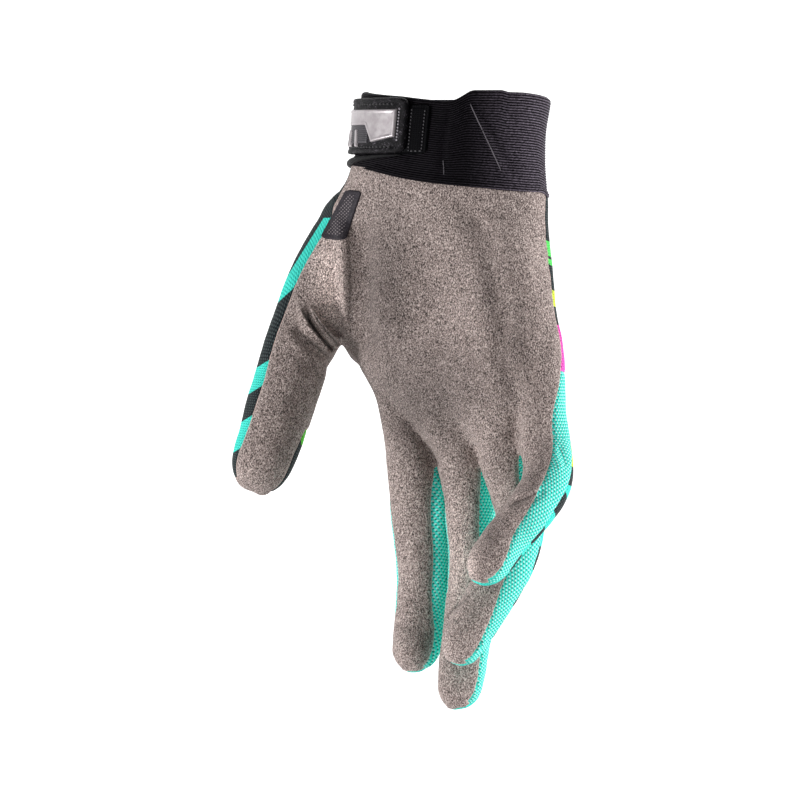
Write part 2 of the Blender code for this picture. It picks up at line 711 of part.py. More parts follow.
def strap_badge():
    """The moulded badge: a band along the strap with a block at its end and short ribs below it."""
    block_long, block_high = BADGE_BLOCK
    rib_wide, rib_deep = BADGE_RIB
    outline = [(0, 0), (0, -block_high + BADGE_BLOCK_RISE + BADGE_CHAMFER)]
    outline += [(BADGE_CHAMFER, -block_high + BADGE_BLOCK_RISE), (block_long, -block_high)]
    outline += [(block_long + BADGE_BLOCK_SLANT, -BADGE_BAND)]
    for rib in range(BADGE_RIBS):
        start = block_long + BADGE_RIB_START + rib * BADGE_RIB_STEP
        outline += [(start, -BADGE_BAND), (start, -rib_deep)]
        outline += [(start + rib_wide, -rib_deep), (start + rib_wide, -BADGE_BAND)]
    outline += [(BADGE_LENGTH, -BADGE_BAND), (BADGE_LENGTH, 0)]
    shape = bmesh.new()
    shape.faces.new([shape.verts.new((u, v, 0)) for u, v in outline])
    for u in np.arange(BADGE_BEND_STEP, BADGE_LENGTH, BADGE_BEND_STEP):
        everything = shape.verts[:] + shape.edges[:] + shape.faces[:]
        bmesh.ops.bisect_plane(shape, geom=everything, plane_co=(u, 0, 0), plane_no=(1, 0, 0), dist=1e-5)
    bmesh.ops.triangulate(shape, faces=shape.faces[:])
    grown = bmesh.ops.extrude_face_region(shape, geom=shape.faces[:])
    for vertex in [v for v in grown["geom"] if isinstance(v, bmesh.types.BMVert)]:
        vertex.co.z = BADGE_WALL
    flat = np.array([vertex.co for vertex in shape.verts])
    angle = BADGE_END_ANGLE - np.degrees(flat[:, 0] / CUFF_RADIUS)
    lift = SEAT_GAP * 3 + PATCH_WALL + STRAP_WALL + flat[:, 2]
    for vertex, place in zip(shape.verts, tube_point(BADGE_TOP + flat[:, 1], angle, lift)):
        vertex.co = place
    shape.normal_update()
    bmesh.ops.recalc_face_normals(shape, faces=shape.faces[:])
    shape.verts.index_update()
    points = [tuple(vertex.co) for vertex in shape.verts]
    faces = [[vertex.index for vertex in face.verts] for face in shape.faces]
    shape.free()
    return make_object("strap_badge", points, faces, RUBBER)


def grip_label(points, quads):
    """The bare label near the thumb's root, laid on the palm as seen from the front quarter."""
    tree = BVHTree.FromPolygons([Vector(p) for p in points], [list(q) for q in quads])
    turn = math.radians(LABEL_VIEW)
    level = Vector((math.cos(turn), math.sin(turn), 0))
    ahead = Vector((-math.sin(turn), math.cos(turn), 0))
    top_left, top_right, low_right, low_left = [np.array(corner) for corner in LABEL_CORNERS]
    steps = np.linspace(0, 1, LABEL_STEPS)
    outer = np.zeros((LABEL_STEPS, LABEL_STEPS, 3))
    inner = np.zeros((LABEL_STEPS, LABEL_STEPS, 3))
    for r, v in enumerate(steps):
        cut = LABEL_CORNER_CUT if v in (0.0, 1.0) else 0.0
        for c, u in enumerate(cut + steps * (1 - 2 * cut)):
            across, z = (1 - v) * ((1 - u) * top_left + u * top_right) + v * ((1 - u) * low_left + u * low_right)
            start = level * across + Vector((0, 0, z)) - ahead * LABEL_STAND_OFF
            place, normal, _, _ = tree.ray_cast(start, ahead)
            if place is None:
                place, normal, _, _ = tree.find_nearest(start + ahead * LABEL_FALL_BACK)
            outer[r, c] = place + normal * (SEAT_GAP + LABEL_WALL)
            inner[r, c] = place + normal * SEAT_GAP
    return grid_slab("grip_label", outer, inner, LABEL)


FINISH_OF = {
    "palm_panel": SUEDE,
    "back_panel": PRINT,
    "thumb_back_panel": PRINT,
    "index_side_panel": MESH,
    "little_side_panel": MESH,
    "web_gusset_index_middle": MESH,
    "web_gusset_middle_ring": MESH,
    "web_gusset_ring_little": MESH,
}


def main():
    for obj in list(bpy.data.objects):
        bpy.data.objects.remove(obj)
    points, quads, panels = glove_surface()
    normals = outward(points, quads)
    for name, finish in FINISH_OF.items():
        mine = [quad for quad, panel in zip(quads, panels) if panel == name]
        thick_panel(name, points, normals, mine, CLOTH, finish)
    cuff_band()
    hook_patch()
    closure_strap()
    strap_badge()
    grip_label(points, quads)


main()
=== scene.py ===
"""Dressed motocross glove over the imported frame: sewn panels, ribbed cuff, strap, badge and label.

Lengths are in millimetres and angles in degrees unless a name says otherwise. X runs from the thumb to the
little finger, the palm faces -Y and +Z points up the forearm. Folds and print are placed in the plane that
the photograph shows: across runs to its right, and z runs up.
"""

import logging
import math
from dataclasses import dataclass, field
from enum import IntEnum
from typing import NamedTuple

import bpy
import numpy as np
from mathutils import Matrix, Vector


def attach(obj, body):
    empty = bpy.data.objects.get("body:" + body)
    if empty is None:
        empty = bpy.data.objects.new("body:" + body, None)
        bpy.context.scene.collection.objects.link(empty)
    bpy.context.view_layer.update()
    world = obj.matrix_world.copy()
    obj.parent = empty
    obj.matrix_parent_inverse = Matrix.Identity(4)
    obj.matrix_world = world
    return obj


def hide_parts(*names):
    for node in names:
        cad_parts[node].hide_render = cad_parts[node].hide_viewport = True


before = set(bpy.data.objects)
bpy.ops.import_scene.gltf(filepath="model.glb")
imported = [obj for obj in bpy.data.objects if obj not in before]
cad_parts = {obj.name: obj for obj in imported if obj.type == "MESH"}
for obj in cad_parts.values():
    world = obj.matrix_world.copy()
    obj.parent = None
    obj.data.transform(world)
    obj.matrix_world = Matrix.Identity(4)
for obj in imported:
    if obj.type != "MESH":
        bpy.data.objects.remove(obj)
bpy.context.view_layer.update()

LOG = logging.getLogger("glove")
MM = 0.001
BODY = "root"

Array = np.ndarray
Colour = tuple[float, float, float]

VIEW_AZIMUTH = 26.0
VIEW_RIGHT = np.array([math.cos(math.radians(VIEW_AZIMUTH)), math.sin(math.radians(VIEW_AZIMUTH)), 0.0])
VIEW_BACK = np.array([math.sin(math.radians(VIEW_AZIMUTH)), -math.cos(math.radians(VIEW_AZIMUTH)), 0.0])


class Panel(IntEnum):
    """The sewn panels of the hand. Each name in lower case is its node's name."""

    PALM_PANEL = 0
    BACK_PANEL = 1
    THUMB_BACK_PANEL = 2
    INDEX_SIDE_PANEL = 3
    LITTLE_SIDE_PANEL = 4
    WEB_GUSSET_INDEX_MIDDLE = 5
    WEB_GUSSET_MIDDLE_RING = 6
    WEB_GUSSET_RING_LITTLE = 7
    NO_PANEL = -1


class Digit(IntEnum):
    """The palm, the fingers and the thumb."""

    PALM = 0
    INDEX = 1
    MIDDLE = 2
    RING = 3
    LITTLE = 4
    THUMB = 5


class PalmSection(NamedTuple):
    """A level of the palm tube: its middle, half sizes, and how far its far side leans to the back."""

    z: float
    x: float
    y: float
    half_width: float
    half_depth: float
    tilt: float


class SeamAngle(NamedTuple):
    """Angles from the front of the palm tube to its seams at a share of the way from cuff to webs."""

    share: float
    radial_front: float
    radial_back: float
    ulnar_front: float
    ulnar_back: float


class Station(NamedTuple):
    """A place along a digit: its middle, half sizes, the turn of its pad and its two front seams."""

    x: float
    y: float
    z: float
    half_width: float
    half_depth: float
    turn: float
    outer_seam: float
    inner_seam: float


class Mound(NamedTuple):
    """A swelling of the palm, or a hollow where its height is negative."""

    x: float
    z: float
    reach_x: float
    reach_z: float
    height: float


class EdgePoint(NamedTuple):
    """Height of the cuff's free edge at an angle round it."""

    angle: float
    z: float


class Fold(NamedTuple):
    """A ridge of cloth, or a groove where its height is negative, along a line of (across, z) points."""

    digits: tuple[Digit, ...]
    line: tuple[tuple[float, float], ...]
    width: float
    height: float


class Seam(NamedTuple):
    """A raised seam on the cuff along a line of (across, z) points."""

    line: tuple[tuple[float, float], ...]
    radius: float
    colour: Colour


class Puff(NamedTuple):
    """A stretch of one panel on one digit that bellies out, centred on a height."""

    panel: Panel
    digit: Digit
    z: float
    reach: float
    height: float


class Band(NamedTuple):
    """A printed band: its slant from level, the offset of its middle line, its width and its colour."""

    slant: float
    offset: float
    width: float
    colour: Colour


class PaintedLightPatch(NamedTuple):
    """A patch of painted light on the suede where its tone is over 0, and of painted shade where under."""

    across: float
    z: float
    reach_across: float
    reach_z: float
    tone: float


class Crease(NamedTuple):
    """A fine crease in the suede between two (across, z) points, with its bow, half width and depth; its
    depth also darkens the suede's colour as painted shade.
    """

    start: tuple[float, float]
    end: tuple[float, float]
    bow: float
    width: float
    depth: float


class Ripple(NamedTuple):
    """Smooth unevenness: its mean wavelength, its height, its seed and its number of waves."""

    wavelength: float
    height: float
    seed: int
    waves: int = 9


def srgb(red: float, green: float, blue: float) -> Colour:
    """Linear colour of an sRGB colour given from 0 to 255."""
    parts = [c / 255 for c in (red, green, blue)]
    linear = [c / 12.92 if c <= 0.04045 else ((c + 0.055) / 1.055) ** 2.4 for c in parts]
    return linear[0], linear[1], linear[2]


TURQUOISE = srgb(62, 232, 214)
BLACK_PRINT = srgb(30, 27, 33)
GREEN = srgb(92, 232, 100)
NEON = srgb(96, 228, 32)
YELLOW = srgb(222, 242, 60)
PINK = srgb(252, 84, 196)

PALM_SECTIONS = (
    PalmSection(0, 3.6, 0.0, 36.8, 24.0, 0.00),
    PalmSection(-18, 1.4, 0.0, 36.2, 23.5, 0.00),
    PalmSection(-36, -0.6, 0.0, 39.2, 22.0, 0.00),
    PalmSection(-51, -0.7, -1.0, 41.4, 19.5, -0.02),
    PalmSection(-66, 0.0, -2.0, 43.4, 17.8, -0.04),
    PalmSection(-81, 1.2, -3.0, 44.8, 17.0, -0.06),
    PalmSection(-96, 4.3, -3.6, 45.4, 16.2, -0.08),
    PalmSection(-107, 10.0, -4.2, 41.4, 15.4, -0.10),
    PalmSection(-120, 12.8, -4.8, 40.4, 14.2, -0.12),
    PalmSection(-138, 15.6, -5.6, 38.0, 12.6, -0.13),
)
SQUARENESS = 0.92
CUFF_SEAM_Z = -32.8
CUFF_SEAM_FALL = 0.105

CUFF_EDGE = (
    EdgePoint(2, -3.4),
    EdgePoint(10, -3.9),
    EdgePoint(15, -3.4),
    EdgePoint(19.5, -1.8),
    EdgePoint(24, 0.1),
    EdgePoint(47, 0.1),
    EdgePoint(49, -0.6),
    EdgePoint(64, -0.8),
    EdgePoint(82, -1.6),
    EdgePoint(102, -2.8),
    EdgePoint(135, -5.2),
    EdgePoint(225, -5.6),
    EdgePoint(270, -2.4),
    EdgePoint(290, 0.2),
    EdgePoint(342, -1.9),
)

SEAM_ANGLES = (
    SeamAngle(0.00, 68, 112, 96, 106),
    SeamAngle(0.10, 58, 122, 91, 107),
    SeamAngle(0.35, 50, 124, 90, 108),
    SeamAngle(0.60, 84, 122, 90, 110),
    SeamAngle(0.75, 92, 118, 88, 112),
    SeamAngle(1.00, 86, 116, 70, 114),
)

BACK_SEAM = 121
FINGERS = {
    Digit.INDEX: (
        Station(-13.2, -2.0, -138.0, 10.0, 9.8, 0, 74, 74),
        Station(-10.9, -3.0, -158.4, 9.9, 9.4, 0, 54, 54),
        Station(-8.6, -5.0, -173.0, 9.8, 9.0, 0, 52, 52),
        Station(-7.0, -9.0, -190.0, 9.3, 8.5, 0, 50, 50),
        Station(-6.4, -14.0, -202.8, 9.0, 7.9, 0, 74, 74),
        Station(-6.0, -18.4, -214.3, 7.6, 7.2, 0, 80, 80),
    ),
    Digit.MIDDLE: (
        Station(7.0, -1.2, -138.0, 9.8, 9.8, -2, 72, 72),
        Station(10.4, -2.2, -152.8, 9.8, 9.5, -4, 50, 50),
        Station(12.6, -5.0, -167.6, 9.5, 9.2, -4, 44, 44),
        Station(14.2, -9.0, -184.3, 9.4, 8.8, -4, 50, 50),
        Station(14.9, -15.0, -200.5, 9.4, 8.4, -4, 66, 66),
        Station(15.2, -20.0, -212.5, 9.0, 7.8, -4, 76, 76),
        Station(16.8, -26.5, -227.6, 7.7, 7.0, -4, 80, 80),
    ),
    Digit.RING: (
        Station(26.4, -6.5, -138.0, 9.4, 9.6, -8, 72, 72),
        Station(32.0, -8.4, -149.0, 9.2, 9.3, -14, 52, 52),
        Station(35.6, -12.2, -158.4, 9.1, 9.1, -18, 48, 48),
        Station(36.4, -18.3, -168.6, 9.6, 8.8, -20, 48, 48),
        Station(31.9, -26.2, -183.4, 9.5, 8.5, -18, 50, 50),
        Station(26.4, -33.1, -196.4, 8.8, 8.0, -12, 70, 70),
        Station(21.7, -40.2, -210.4, 7.4, 7.0, -10, 78, 78),
    ),
    Digit.LITTLE: (
        Station(44.8, -10.0, -132.2, 9.4, 9.4, -12, 60, 60),
        Station(47.8, -13.8, -140.4, 9.3, 9.2, -18, 54, 54),
        Station(48.6, -20.6, -147.8, 9.2, 9.0, -24, 54, 54),
        Station(46.4, -29.2, -156.0, 9.0, 8.7, -26, 54, 54),
        Station(41.8, -37.4, -165.0, 8.5, 8.3, -22, 60, 60),
        Station(39.0, -44.2, -172.6, 8.2, 7.9, -12, 72, 72),
        Station(36.0, -50.8, -180.4, 7.2, 6.9, -8, 78, 78),
    ),
}

THUMB_BACK_SEAM = 130
THUMB = (
    Station(-41.9, -3.0, -68.0, 20.0, 13.0, 30, 62, 100),
    Station(-47.6, -9.0, -79.0, 16.5, 12.6, 36, 62, 100),
    Station(-52.2, -14.0, -90.0, 14.2, 12.2, 42, 62, 98),
    Station(-55.4, -18.0, -101.4, 13.0, 11.8, 46, 62, 94),
    Station(-58.6, -22.0, -115.8, 12.5, 11.4, 46, 60, 68),
    Station(-61.8, -26.0, -131.4, 11.8, 10.6, 44, 66, 44),
    Station(-67.0, -29.8, -147.6, 11.8, 9.8, 42, 74, 66),
)

SOFT_SPOTS = ((-37, -15, -50, 12), (-40, -16, -68, 15), (-42, -17, -86, 14), (-39, 3, -95, 9))

MOUNDS = (
    Mound(-24, -74, 13, 26, 3.0),
    Mound(30, -70, 12, 34, 2.6),
    Mound(4, -84, 13, 26, -2.4),
    Mound(24, -112, 7, 20, -1.6),
)

THUMB_ROOT = (Digit.PALM, Digit.THUMB)
HAND_FOLDS = (
    Fold(THUMB_ROOT, ((-54.4, -79.0), (-53.4, -84.0), (-50.6, -89.2), (-44.6, -96.0)), 1.1, 2.2),
    Fold(THUMB_ROOT, ((-52.6, -80.6), (-51.2, -85.4), (-47.6, -90.6), (-41.4, -96.6)), 1.1, -2.9),
    Fold(THUMB_ROOT, ((-52.2, -79.0), (-49.4, -84.0), (-45.0, -89.2), (-39.6, -95.0)), 1.2, 2.3),
    Fold(THUMB_ROOT, ((-48.8, -80.6), (-45.6, -84.6), (-41.6, -89.2), (-38.4, -93.6)), 1.6, -2.5),
    Fold(THUMB_ROOT, ((-56.8, -86.0), (-55.0, -90.6), (-50.6, -95.4), (-45.0, -98.4)), 1.4, -1.0),
    Fold((Digit.THUMB,), ((-60.0, -88.0), (-57.2, -93.0), (-52.2, -97.4), (-46.0, -99.6)), 1.6, 0.8),
    Fold((Digit.THUMB,), ((-60.8, -113.4), (-55.6, -112.2), (-51.6, -111.2)), 1.6, -0.7),
    Fold(THUMB_ROOT, ((-38.6, -46.0), (-37.9, -68.8), (-37.2, -80.0), (-36.4, -95.0)), 2.4, 2.7),
    Fold(THUMB_ROOT, ((-32.4, -46.0), (-31.8, -70.0), (-31.4, -84.0), (-29.0, -99.0)), 4.2, -2.8),
    Fold((Digit.PALM,), ((2.8, -39.2), (13.7, -54.4), (16.2, -71.0), (20.6, -82.9)), 4.6, -2.0),
    Fold((Digit.PALM,), ((20.6, -80.0), (19.1, -97.3), (23.3, -107.7), (26.8, -115.4)), 4.0, -2.2),
    Fold((Digit.PALM,), ((24.0, -46.0), (27.0, -66.0), (30.0, -84.0), (32.0, -98.0)), 6.0, 1.4),
    Fold((Digit.PALM,), ((-20.0, -104.0), (-6.0, -101.0), (10.0, -103.0)), 5.0, 0.6),
    Fold((Digit.PALM, Digit.INDEX, Digit.MIDDLE), ((-9.4, -133.6), (-3.7, -138.8)), 2.4, -1.1),
    Fold((Digit.PALM, Digit.MIDDLE, Digit.RING), ((8.7, -129.9), (13.9, -136.2)), 2.4, -1.1),
    Fold((Digit.PALM, Digit.RING, Digit.LITTLE), ((23.9, -118.6), (24.9, -129.1)), 2.2, -1.1),
    Fold((Digit.LITTLE,), ((23.5, -149.9), (26.8, -148.7), (31.9, -147.3), (34.1, -144.7)), 1.1, 0.8),
    Fold((Digit.LITTLE,), ((23.5, -152.4), (27.2, -151.0), (32.4, -149.4), (35.4, -146.7)), 1.5, -0.9),
    Fold((Digit.LITTLE, Digit.PALM), ((40.1, -130.6), (43.5, -138.2)), 0.9, -0.6),
    Fold((Digit.LITTLE, Digit.PALM), ((38.4, -133.0), (41.4, -140.0)), 1.0, 0.4),
    Fold((Digit.RING,), ((2.0, -196.0), (7.0, -192.0), (13.0, -190.0)), 2.2, -0.6),
    Fold((Digit.RING,), ((8.0, -208.3), (10.5, -205.4), (13.5, -202.4)), 0.9, 0.6),
    Fold((Digit.INDEX,), ((-20.0, -196.0), (-13.0, -197.4), (-7.0, -196.0)), 2.4, -0.5),
)

PUFFS = (
    Puff(Panel.WEB_GUSSET_INDEX_MIDDLE, Digit.INDEX, -153.0, 14.0, 2.6),
    Puff(Panel.WEB_GUSSET_INDEX_MIDDLE, Digit.INDEX, -182.0, 16.0, 1.2),
    Puff(Panel.WEB_GUSSET_INDEX_MIDDLE, Digit.INDEX, -208.0, 10.0, 1.4),
)

CUFF_FOLDS = (
    Fold((), ((7.9, -5.2), (12.0, -14.0), (15.6, -20.0), (19.6, -29.8)), 0.55, 0.45),
    Fold((), ((10.8, -6.0), (15.4, -14.0), (19.2, -22.0), (22.4, -27.6), (24.6, -31.0)), 1.9, -0.9),
    Fold((), ((0.9, -6.0), (-1.4, -15.0), (-2.2, -24.0), (-2.6, -32.0)), 0.9, -0.6),
    Fold((), ((-37.4, -26.4), (-33.6, -24.4), (-24.0, -24.8), (-14.0, -25.6)), 1.5, 0.9),
    Fold((), ((-37.0, -29.6), (-34.0, -27.6), (-27.0, -28.0)), 0.9, -0.7),
)

CUFF_SEAMS = (
    Seam(((7.9, -4.9), (11.2, -12.0), (15.0, -20.0), (19.4, -29.6)), 0.2, srgb(92, 85, 93)),
    Seam(((-2.1, -25.6), (-1.9, -27.4), (-1.8, -29.2), (-1.8, -31.0)), 0.14, srgb(92, 86, 94)),
)

THUMB_BANDS = (
    Band(90, -52.2, 4.6, NEON),
    Band(0, 41.0, 163.0, BLACK_PRINT),
    Band(0, 150.6, 40.0, BLACK_PRINT),
    Band(58, -12.4, 4.2, TURQUOISE),
    Band(0, 23.0, 47.0, BLACK_PRINT),
    Band(42, 25.6, 20.0, BLACK_PRINT),
    Band(32, 52.3, 6.7, TURQUOISE),
    Band(32, 67.0, 8.0, TURQUOISE),
)

# Under the strap the seam of cuff and hand stands higher: by how much, then its middle and reach across
SEAM_RISE = 2.0
SEAM_RISE_PLACE = (-33.0, 13.0)

# The V of the thumb's crotch: how far it goes up, its middle and its reach, both (across, z)
CROTCH_NOTCH = 5.4
CROTCH_PLACE = (-39.6, -99.0)
CROTCH_REACH = (2.9, 7.0)

# Below the cuff the thumb side stands out: by how much, then its middle height and reach
SIDE_PUSH = 3.0
SIDE_PLACE = (-40.0, 6.0)

CREASES = (
    Crease((-54.8, -79.0), (-41.4, -96.6), -1.2, 0.85, 1.0),
    Crease((-50.6, -80.0), (-39.6, -94.4), -0.8, 0.65, 0.8),
    Crease((-57.0, -86.0), (-43.2, -98.6), -0.6, 1.0, 0.45),
    Crease((-37.0, -50.0), (-36.2, -90.0), 0.4, 1.5, 0.4),
    Crease((21.6, -153.0), (33.6, -147.0), -0.4, 0.8, 0.6),
    Crease((-1.4, -195.0), (10.8, -184.0), 0.8, 0.9, 0.5),
)

# Painted light and shade on the suede: each patch makes the colour paler where its tone is over 0 and darker
# where under.
PAINTED_LIGHT_PATCHES = (
    PaintedLightPatch(-25.0, -74.0, 11.0, 32.0, -0.62),
    PaintedLightPatch(-8.0, -114.0, 20.0, 17.0, -0.64),
    PaintedLightPatch(4.3, -170.0, 7.0, 24.0, 0.42),
    PaintedLightPatch(-45.0, -70.0, 6.5, 19.0, 0.72),
    PaintedLightPatch(-12.0, -170.0, 8.0, 30.0, 0.12),
    PaintedLightPatch(12.0, -126.0, 9.0, 9.0, 0.18),
    PaintedLightPatch(25.0, -150.0, 7.0, 16.0, 0.12),
    PaintedLightPatch(7.0, -50.0, 5.0, 9.0, -0.16),
    PaintedLightPatch(15.5, -68.0, 5.0, 13.0, -0.26),
    PaintedLightPatch(23.5, -92.0, 5.0, 15.0, -0.28),
    PaintedLightPatch(32.0, -62.0, 6.0, 20.0, 0.12),
    PaintedLightPatch(-9.1, -177.0, 3.0, 16.0, -0.22),
    PaintedLightPatch(-9.8, -203.0, 5.0, 7.0, -0.26),
    PaintedLightPatch(15.4, -162.0, 4.0, 7.0, -0.18),
    PaintedLightPatch(6.8, -191.0, 4.0, 6.0, -0.18),
)

BACK_BANDS = (
    Band(-25, 12.0, 9.0, TURQUOISE),
    Band(-25, 38.5, 7.6, GREEN),
    Band(-25, 40.0, 0.9, BLACK_PRINT),
    Band(-25, 53.0, 5.1, YELLOW),
    Band(-25, 71.6, 20.6, PINK),
    Band(-25, 102.5, 7.6, YELLOW),
    Band(90, -60.0, 60.0, BLACK_PRINT),
)
FINGER_PRINT_START = 113.0
BAR_PERIOD = 14.2
BAR_MIDDLE = 5.0
BAR_LENGTH = 8.0
TIP_PLAIN = 10.5
PRINT_SOFT = 0.12

# A fold shows where the cloth faces the photograph, and fades over a share of its length at each end
FOLD_FACING = 0.25
FOLD_FADE = 0.22
FOLD_START = 0.04

HAND_RIPPLES = (Ripple(17.0, 0.35, 5), Ripple(7.0, 0.1225, 11))
SEAM_PUCKER = Ripple(4.2, 0.16, 21, 14)
CUFF_RIPPLE = Ripple(16.0, 0.25, 3)
STRAP_RIPPLE = Ripple(9.0, 0.18, 8)
HEM_RIPPLE = Ripple(5.0, 0.12, 31)

UV_PER_MM = 0.01
SHARP_ANGLE = 55


def smoothstep(share: Array) -> Array:
    """0 below 0, 1 above 1, and 3s² - 2s³ between."""
    share = np.clip(share, 0.0, 1.0)
    return share * share * (3.0 - 2.0 * share)


def unit(vectors: Array) -> Array:
    """The vectors along the last axis, each at length 1."""
    return vectors / np.maximum(np.linalg.norm(vectors, axis=-1, keepdims=True), 1e-9)


def bell(far: Array, reach: float) -> Array:
    """1 at 0, falling smoothly on both sides: 1/e at reach."""
    return np.exp(-((far / reach) ** 2))


def bell_at(x: Array, z: Array, middle: tuple, reach: tuple) -> Array:
    """A bell over a plane, with its own reach each way."""
    return np.exp(-(((x - middle[0]) / reach[0]) ** 2) - ((z - middle[1]) / reach[1]) ** 2)


def rounded(inside: Array, reach: float, least: float = 0.0) -> Array:
    """Height of a rounded edge: a quarter circle from 0 at the rim to 1 at reach inside it."""
    return np.sqrt(np.clip(1 - (1 - np.clip(inside / reach, 0, 1)) ** 2, least, 1))


def tapered(share: Array, power: int, least: float = 0.02) -> Array:
    """Width of a cord at shares of its length: 1 along its middle, narrow at both ends."""
    return np.sqrt(np.clip(1 - (2 * share - 1) ** power, least, 1))


def corner_inset(near: Array, radius: float) -> Array:
    """How far in a side stands at a distance from an end whose corners are round."""
    near = np.minimum(near, radius)
    return radius - np.sqrt(np.clip(radius**2 - (radius - near) ** 2, 0, None))


def in_view(points: Array) -> Array:
    """Where points lie in the photograph's plane, as (across, z)."""
    return np.stack([points @ VIEW_RIGHT, points[:, 2]], axis=1)


def band_way(slant: float) -> Array:
    """The way down across a band of this slant, in the photograph's plane."""
    turn = math.radians(slant)
    return VIEW_RIGHT * math.sin(turn) + np.array([0, 0, -math.cos(turn)])


def read_table(knots: Array, rows: Array, at: Array) -> Array:
    """Reads a smooth curve through every row of a table.

    Each span is a cubic with the rows' own values and slopes at its ends.

    Args:
        knots: rising positions of the rows.
        rows: one row of values for each knot.
        at: positions to read.

    Returns:
        A row of values for each position.
    """
    knots, rows, at = (np.asarray(a, float) for a in (knots, rows, at))
    slope = np.gradient(rows, knots, axis=0)
    low = np.clip(np.searchsorted(knots, at) - 1, 0, len(knots) - 2)
    span = (knots[low + 1] - knots[low])[..., None]
    u = (at - knots[low])[..., None] / span
    start = (1 + 2 * u) * (1 - u) ** 2 * rows[low] + u * (1 - u) ** 2 * span * slope[low]
    end = u * u * (3 - 2 * u) * rows[low + 1] - u * u * (1 - u) * span * slope[low + 1]
    return start + end


def palm_section(z: Array) -> Array:
    """x, y, half width, half depth and tilt of the palm tube at each height z."""
    return read_table([-s.z for s in PALM_SECTIONS], [s[1:] for s in PALM_SECTIONS], -np.asarray(z, float))


def tube_point(z: Array, angle: Array, lift: Array | float = 0.0) -> Array:
    """Points on the palm tube: a slightly squared ellipse at each height, moved out by lift.

    Args:
        z: heights.
        angle: angles from the front, growing towards the little finger.
        lift: distance outside the tube.

    Returns:
        Points along a new last axis.
    """
    x, y, half_width, half_depth, tilt = np.moveaxis(palm_section(z), -1, 0)
    across = np.sin(np.radians(angle))
    ahead = np.cos(np.radians(angle))
    across = np.sign(across) * np.abs(across) ** SQUARENESS
    ahead = np.sign(ahead) * np.abs(ahead) ** SQUARENESS
    dx = (half_width + lift) * across
    dy = -(half_depth + lift) * ahead + tilt * dx
    return np.stack([x + dx, y + dy, np.broadcast_to(z, dx.shape)], axis=-1)


def seam_z(x: Array) -> Array:
    """Height of the seam between cuff and hand: a straight line that falls towards the little finger."""
    return CUFF_SEAM_Z - CUFF_SEAM_FALL * x


def seam_rise(across: Array) -> Array:
    """How far the seam between cuff and hand stands over its straight line, under the strap."""
    middle, reach = SEAM_RISE_PLACE
    return SEAM_RISE * bell(across - middle, reach)


def grid_quads(index: Array) -> Array:
    """Quads of a grid of vertex numbers, anticlockwise from outside where rows run down and columns right."""
    corners = [index[:-1, :-1], index[1:, :-1], index[1:, 1:], index[:-1, 1:]]
    return np.stack(corners, axis=-1).reshape(-1, 4)


def close_round(index: Array) -> Array:
    """A grid of vertex numbers with its first column repeated after its last."""
    return np.concatenate([index, index[:, :1]], axis=1)


def vertex_normals(points: Array, quads: Array) -> Array:
    """Unit normals at the vertices: the sum of the crossed diagonals of the quads around each."""
    corner = points[quads]
    face = np.cross(corner[:, 2] - corner[:, 0], corner[:, 3] - corner[:, 1])
    normal = np.zeros_like(points)
    for column in range(4):
        np.add.at(normal, quads[:, column], face)
    return unit(normal)


def nearest_distance(points: Array, targets: Array, chunk: int = 2000) -> Array:
    """Distance from each point to the nearest target, worked out a chunk of points at a time."""
    parts = []
    squares = np.sum(targets**2, axis=1)
    for start in range(0, len(points), chunk):
        some = points[start : start + chunk]
        square = np.sum(some**2, axis=1)[:, None] + squares - 2 * some @ targets.T
        parts.append(np.sqrt(np.maximum(square.min(axis=1), 0)))
    return np.concatenate(parts)


def line_distance(places: Array, line: Array) -> tuple[Array, Array]:
    """Distance from places in a plane to a line of straight runs, and the share of its length there."""
    start, end = line[:-1], line[1:]
    run = end - start
    length = np.linalg.norm(run, axis=1)
    rel = places[:, None, :] - start
    t = np.clip(np.sum(rel * run, axis=2) / length**2, 0, 1)
    away = np.linalg.norm(rel - t[..., None] * run, axis=2)
    best = away.argmin(axis=1)
    row = np.arange(len(places))
    gone = np.concatenate([[0], np.cumsum(length)])[best] + t[row, best] * length[best]
    return away[row, best], gone / length.sum()


def fold_lift(folds: tuple[Fold, ...], points: Array, normals: Array, digit: Array | None = None) -> Array:
    """How far folds raise each point: a bell across each fold's line that fades at the line's ends.

    Args:
        folds: the folds, in the photograph's plane.
        points: places on the surface.
        normals: unit normals there.
        digit: each point's digit, or None where folds act everywhere.

    Returns:
        The rise along the normal at each point.
    """
    seen = in_view(points)
    facing = smoothstep(normals @ VIEW_BACK / FOLD_FACING)
    lift = np.zeros(len(points))
    for fold in folds:
        away, share = line_distance(seen, np.array(fold.line))
        share = np.minimum(share, 1 - share) + FOLD_START
        rise = fold.height * bell(away, fold.width) * smoothstep(share / FOLD_FADE) * facing
        if digit is not None:
            rise = rise * np.isin(digit, fold.digits)
        lift += rise
    return lift


def painted_light_tone(points: Array) -> Array:
    """Factor of painted light and shade on the suede's colour: e to the sum of each patch's tone times its
    bell.
    """
    across, z = points @ VIEW_RIGHT, points[:, 2]
    total = np.zeros(len(points))
    for patch in PAINTED_LIGHT_PATCHES:
        total += patch.tone * bell_at(across, z, patch[:2], patch[2:4])
    return np.exp(total)


def ripples(points: Array, ripple: Ripple) -> Array:
    """Smooth unevenness: a mean of sine waves in seeded directions and phases."""
    rng = np.random.default_rng(ripple.seed)
    ways = unit(rng.normal(size=(ripple.waves, 3)))
    lengths = ripple.wavelength * rng.uniform(0.7, 1.5, ripple.waves)
    phase = rng.uniform(0, 2 * math.pi, ripple.waves)
    turns = points @ (ways / lengths[:, None]).T * 2 * math.pi + phase
    return ripple.height * np.sin(turns).mean(axis=1) * math.sqrt(ripple.waves) / 2


def add_object(name: str, data: bpy.types.ID) -> bpy.types.Object:
    """A new object in the scene that shows this data."""
    obj = bpy.data.objects.new(name, data)
    bpy.context.scene.collection.objects.link(obj)
    return obj


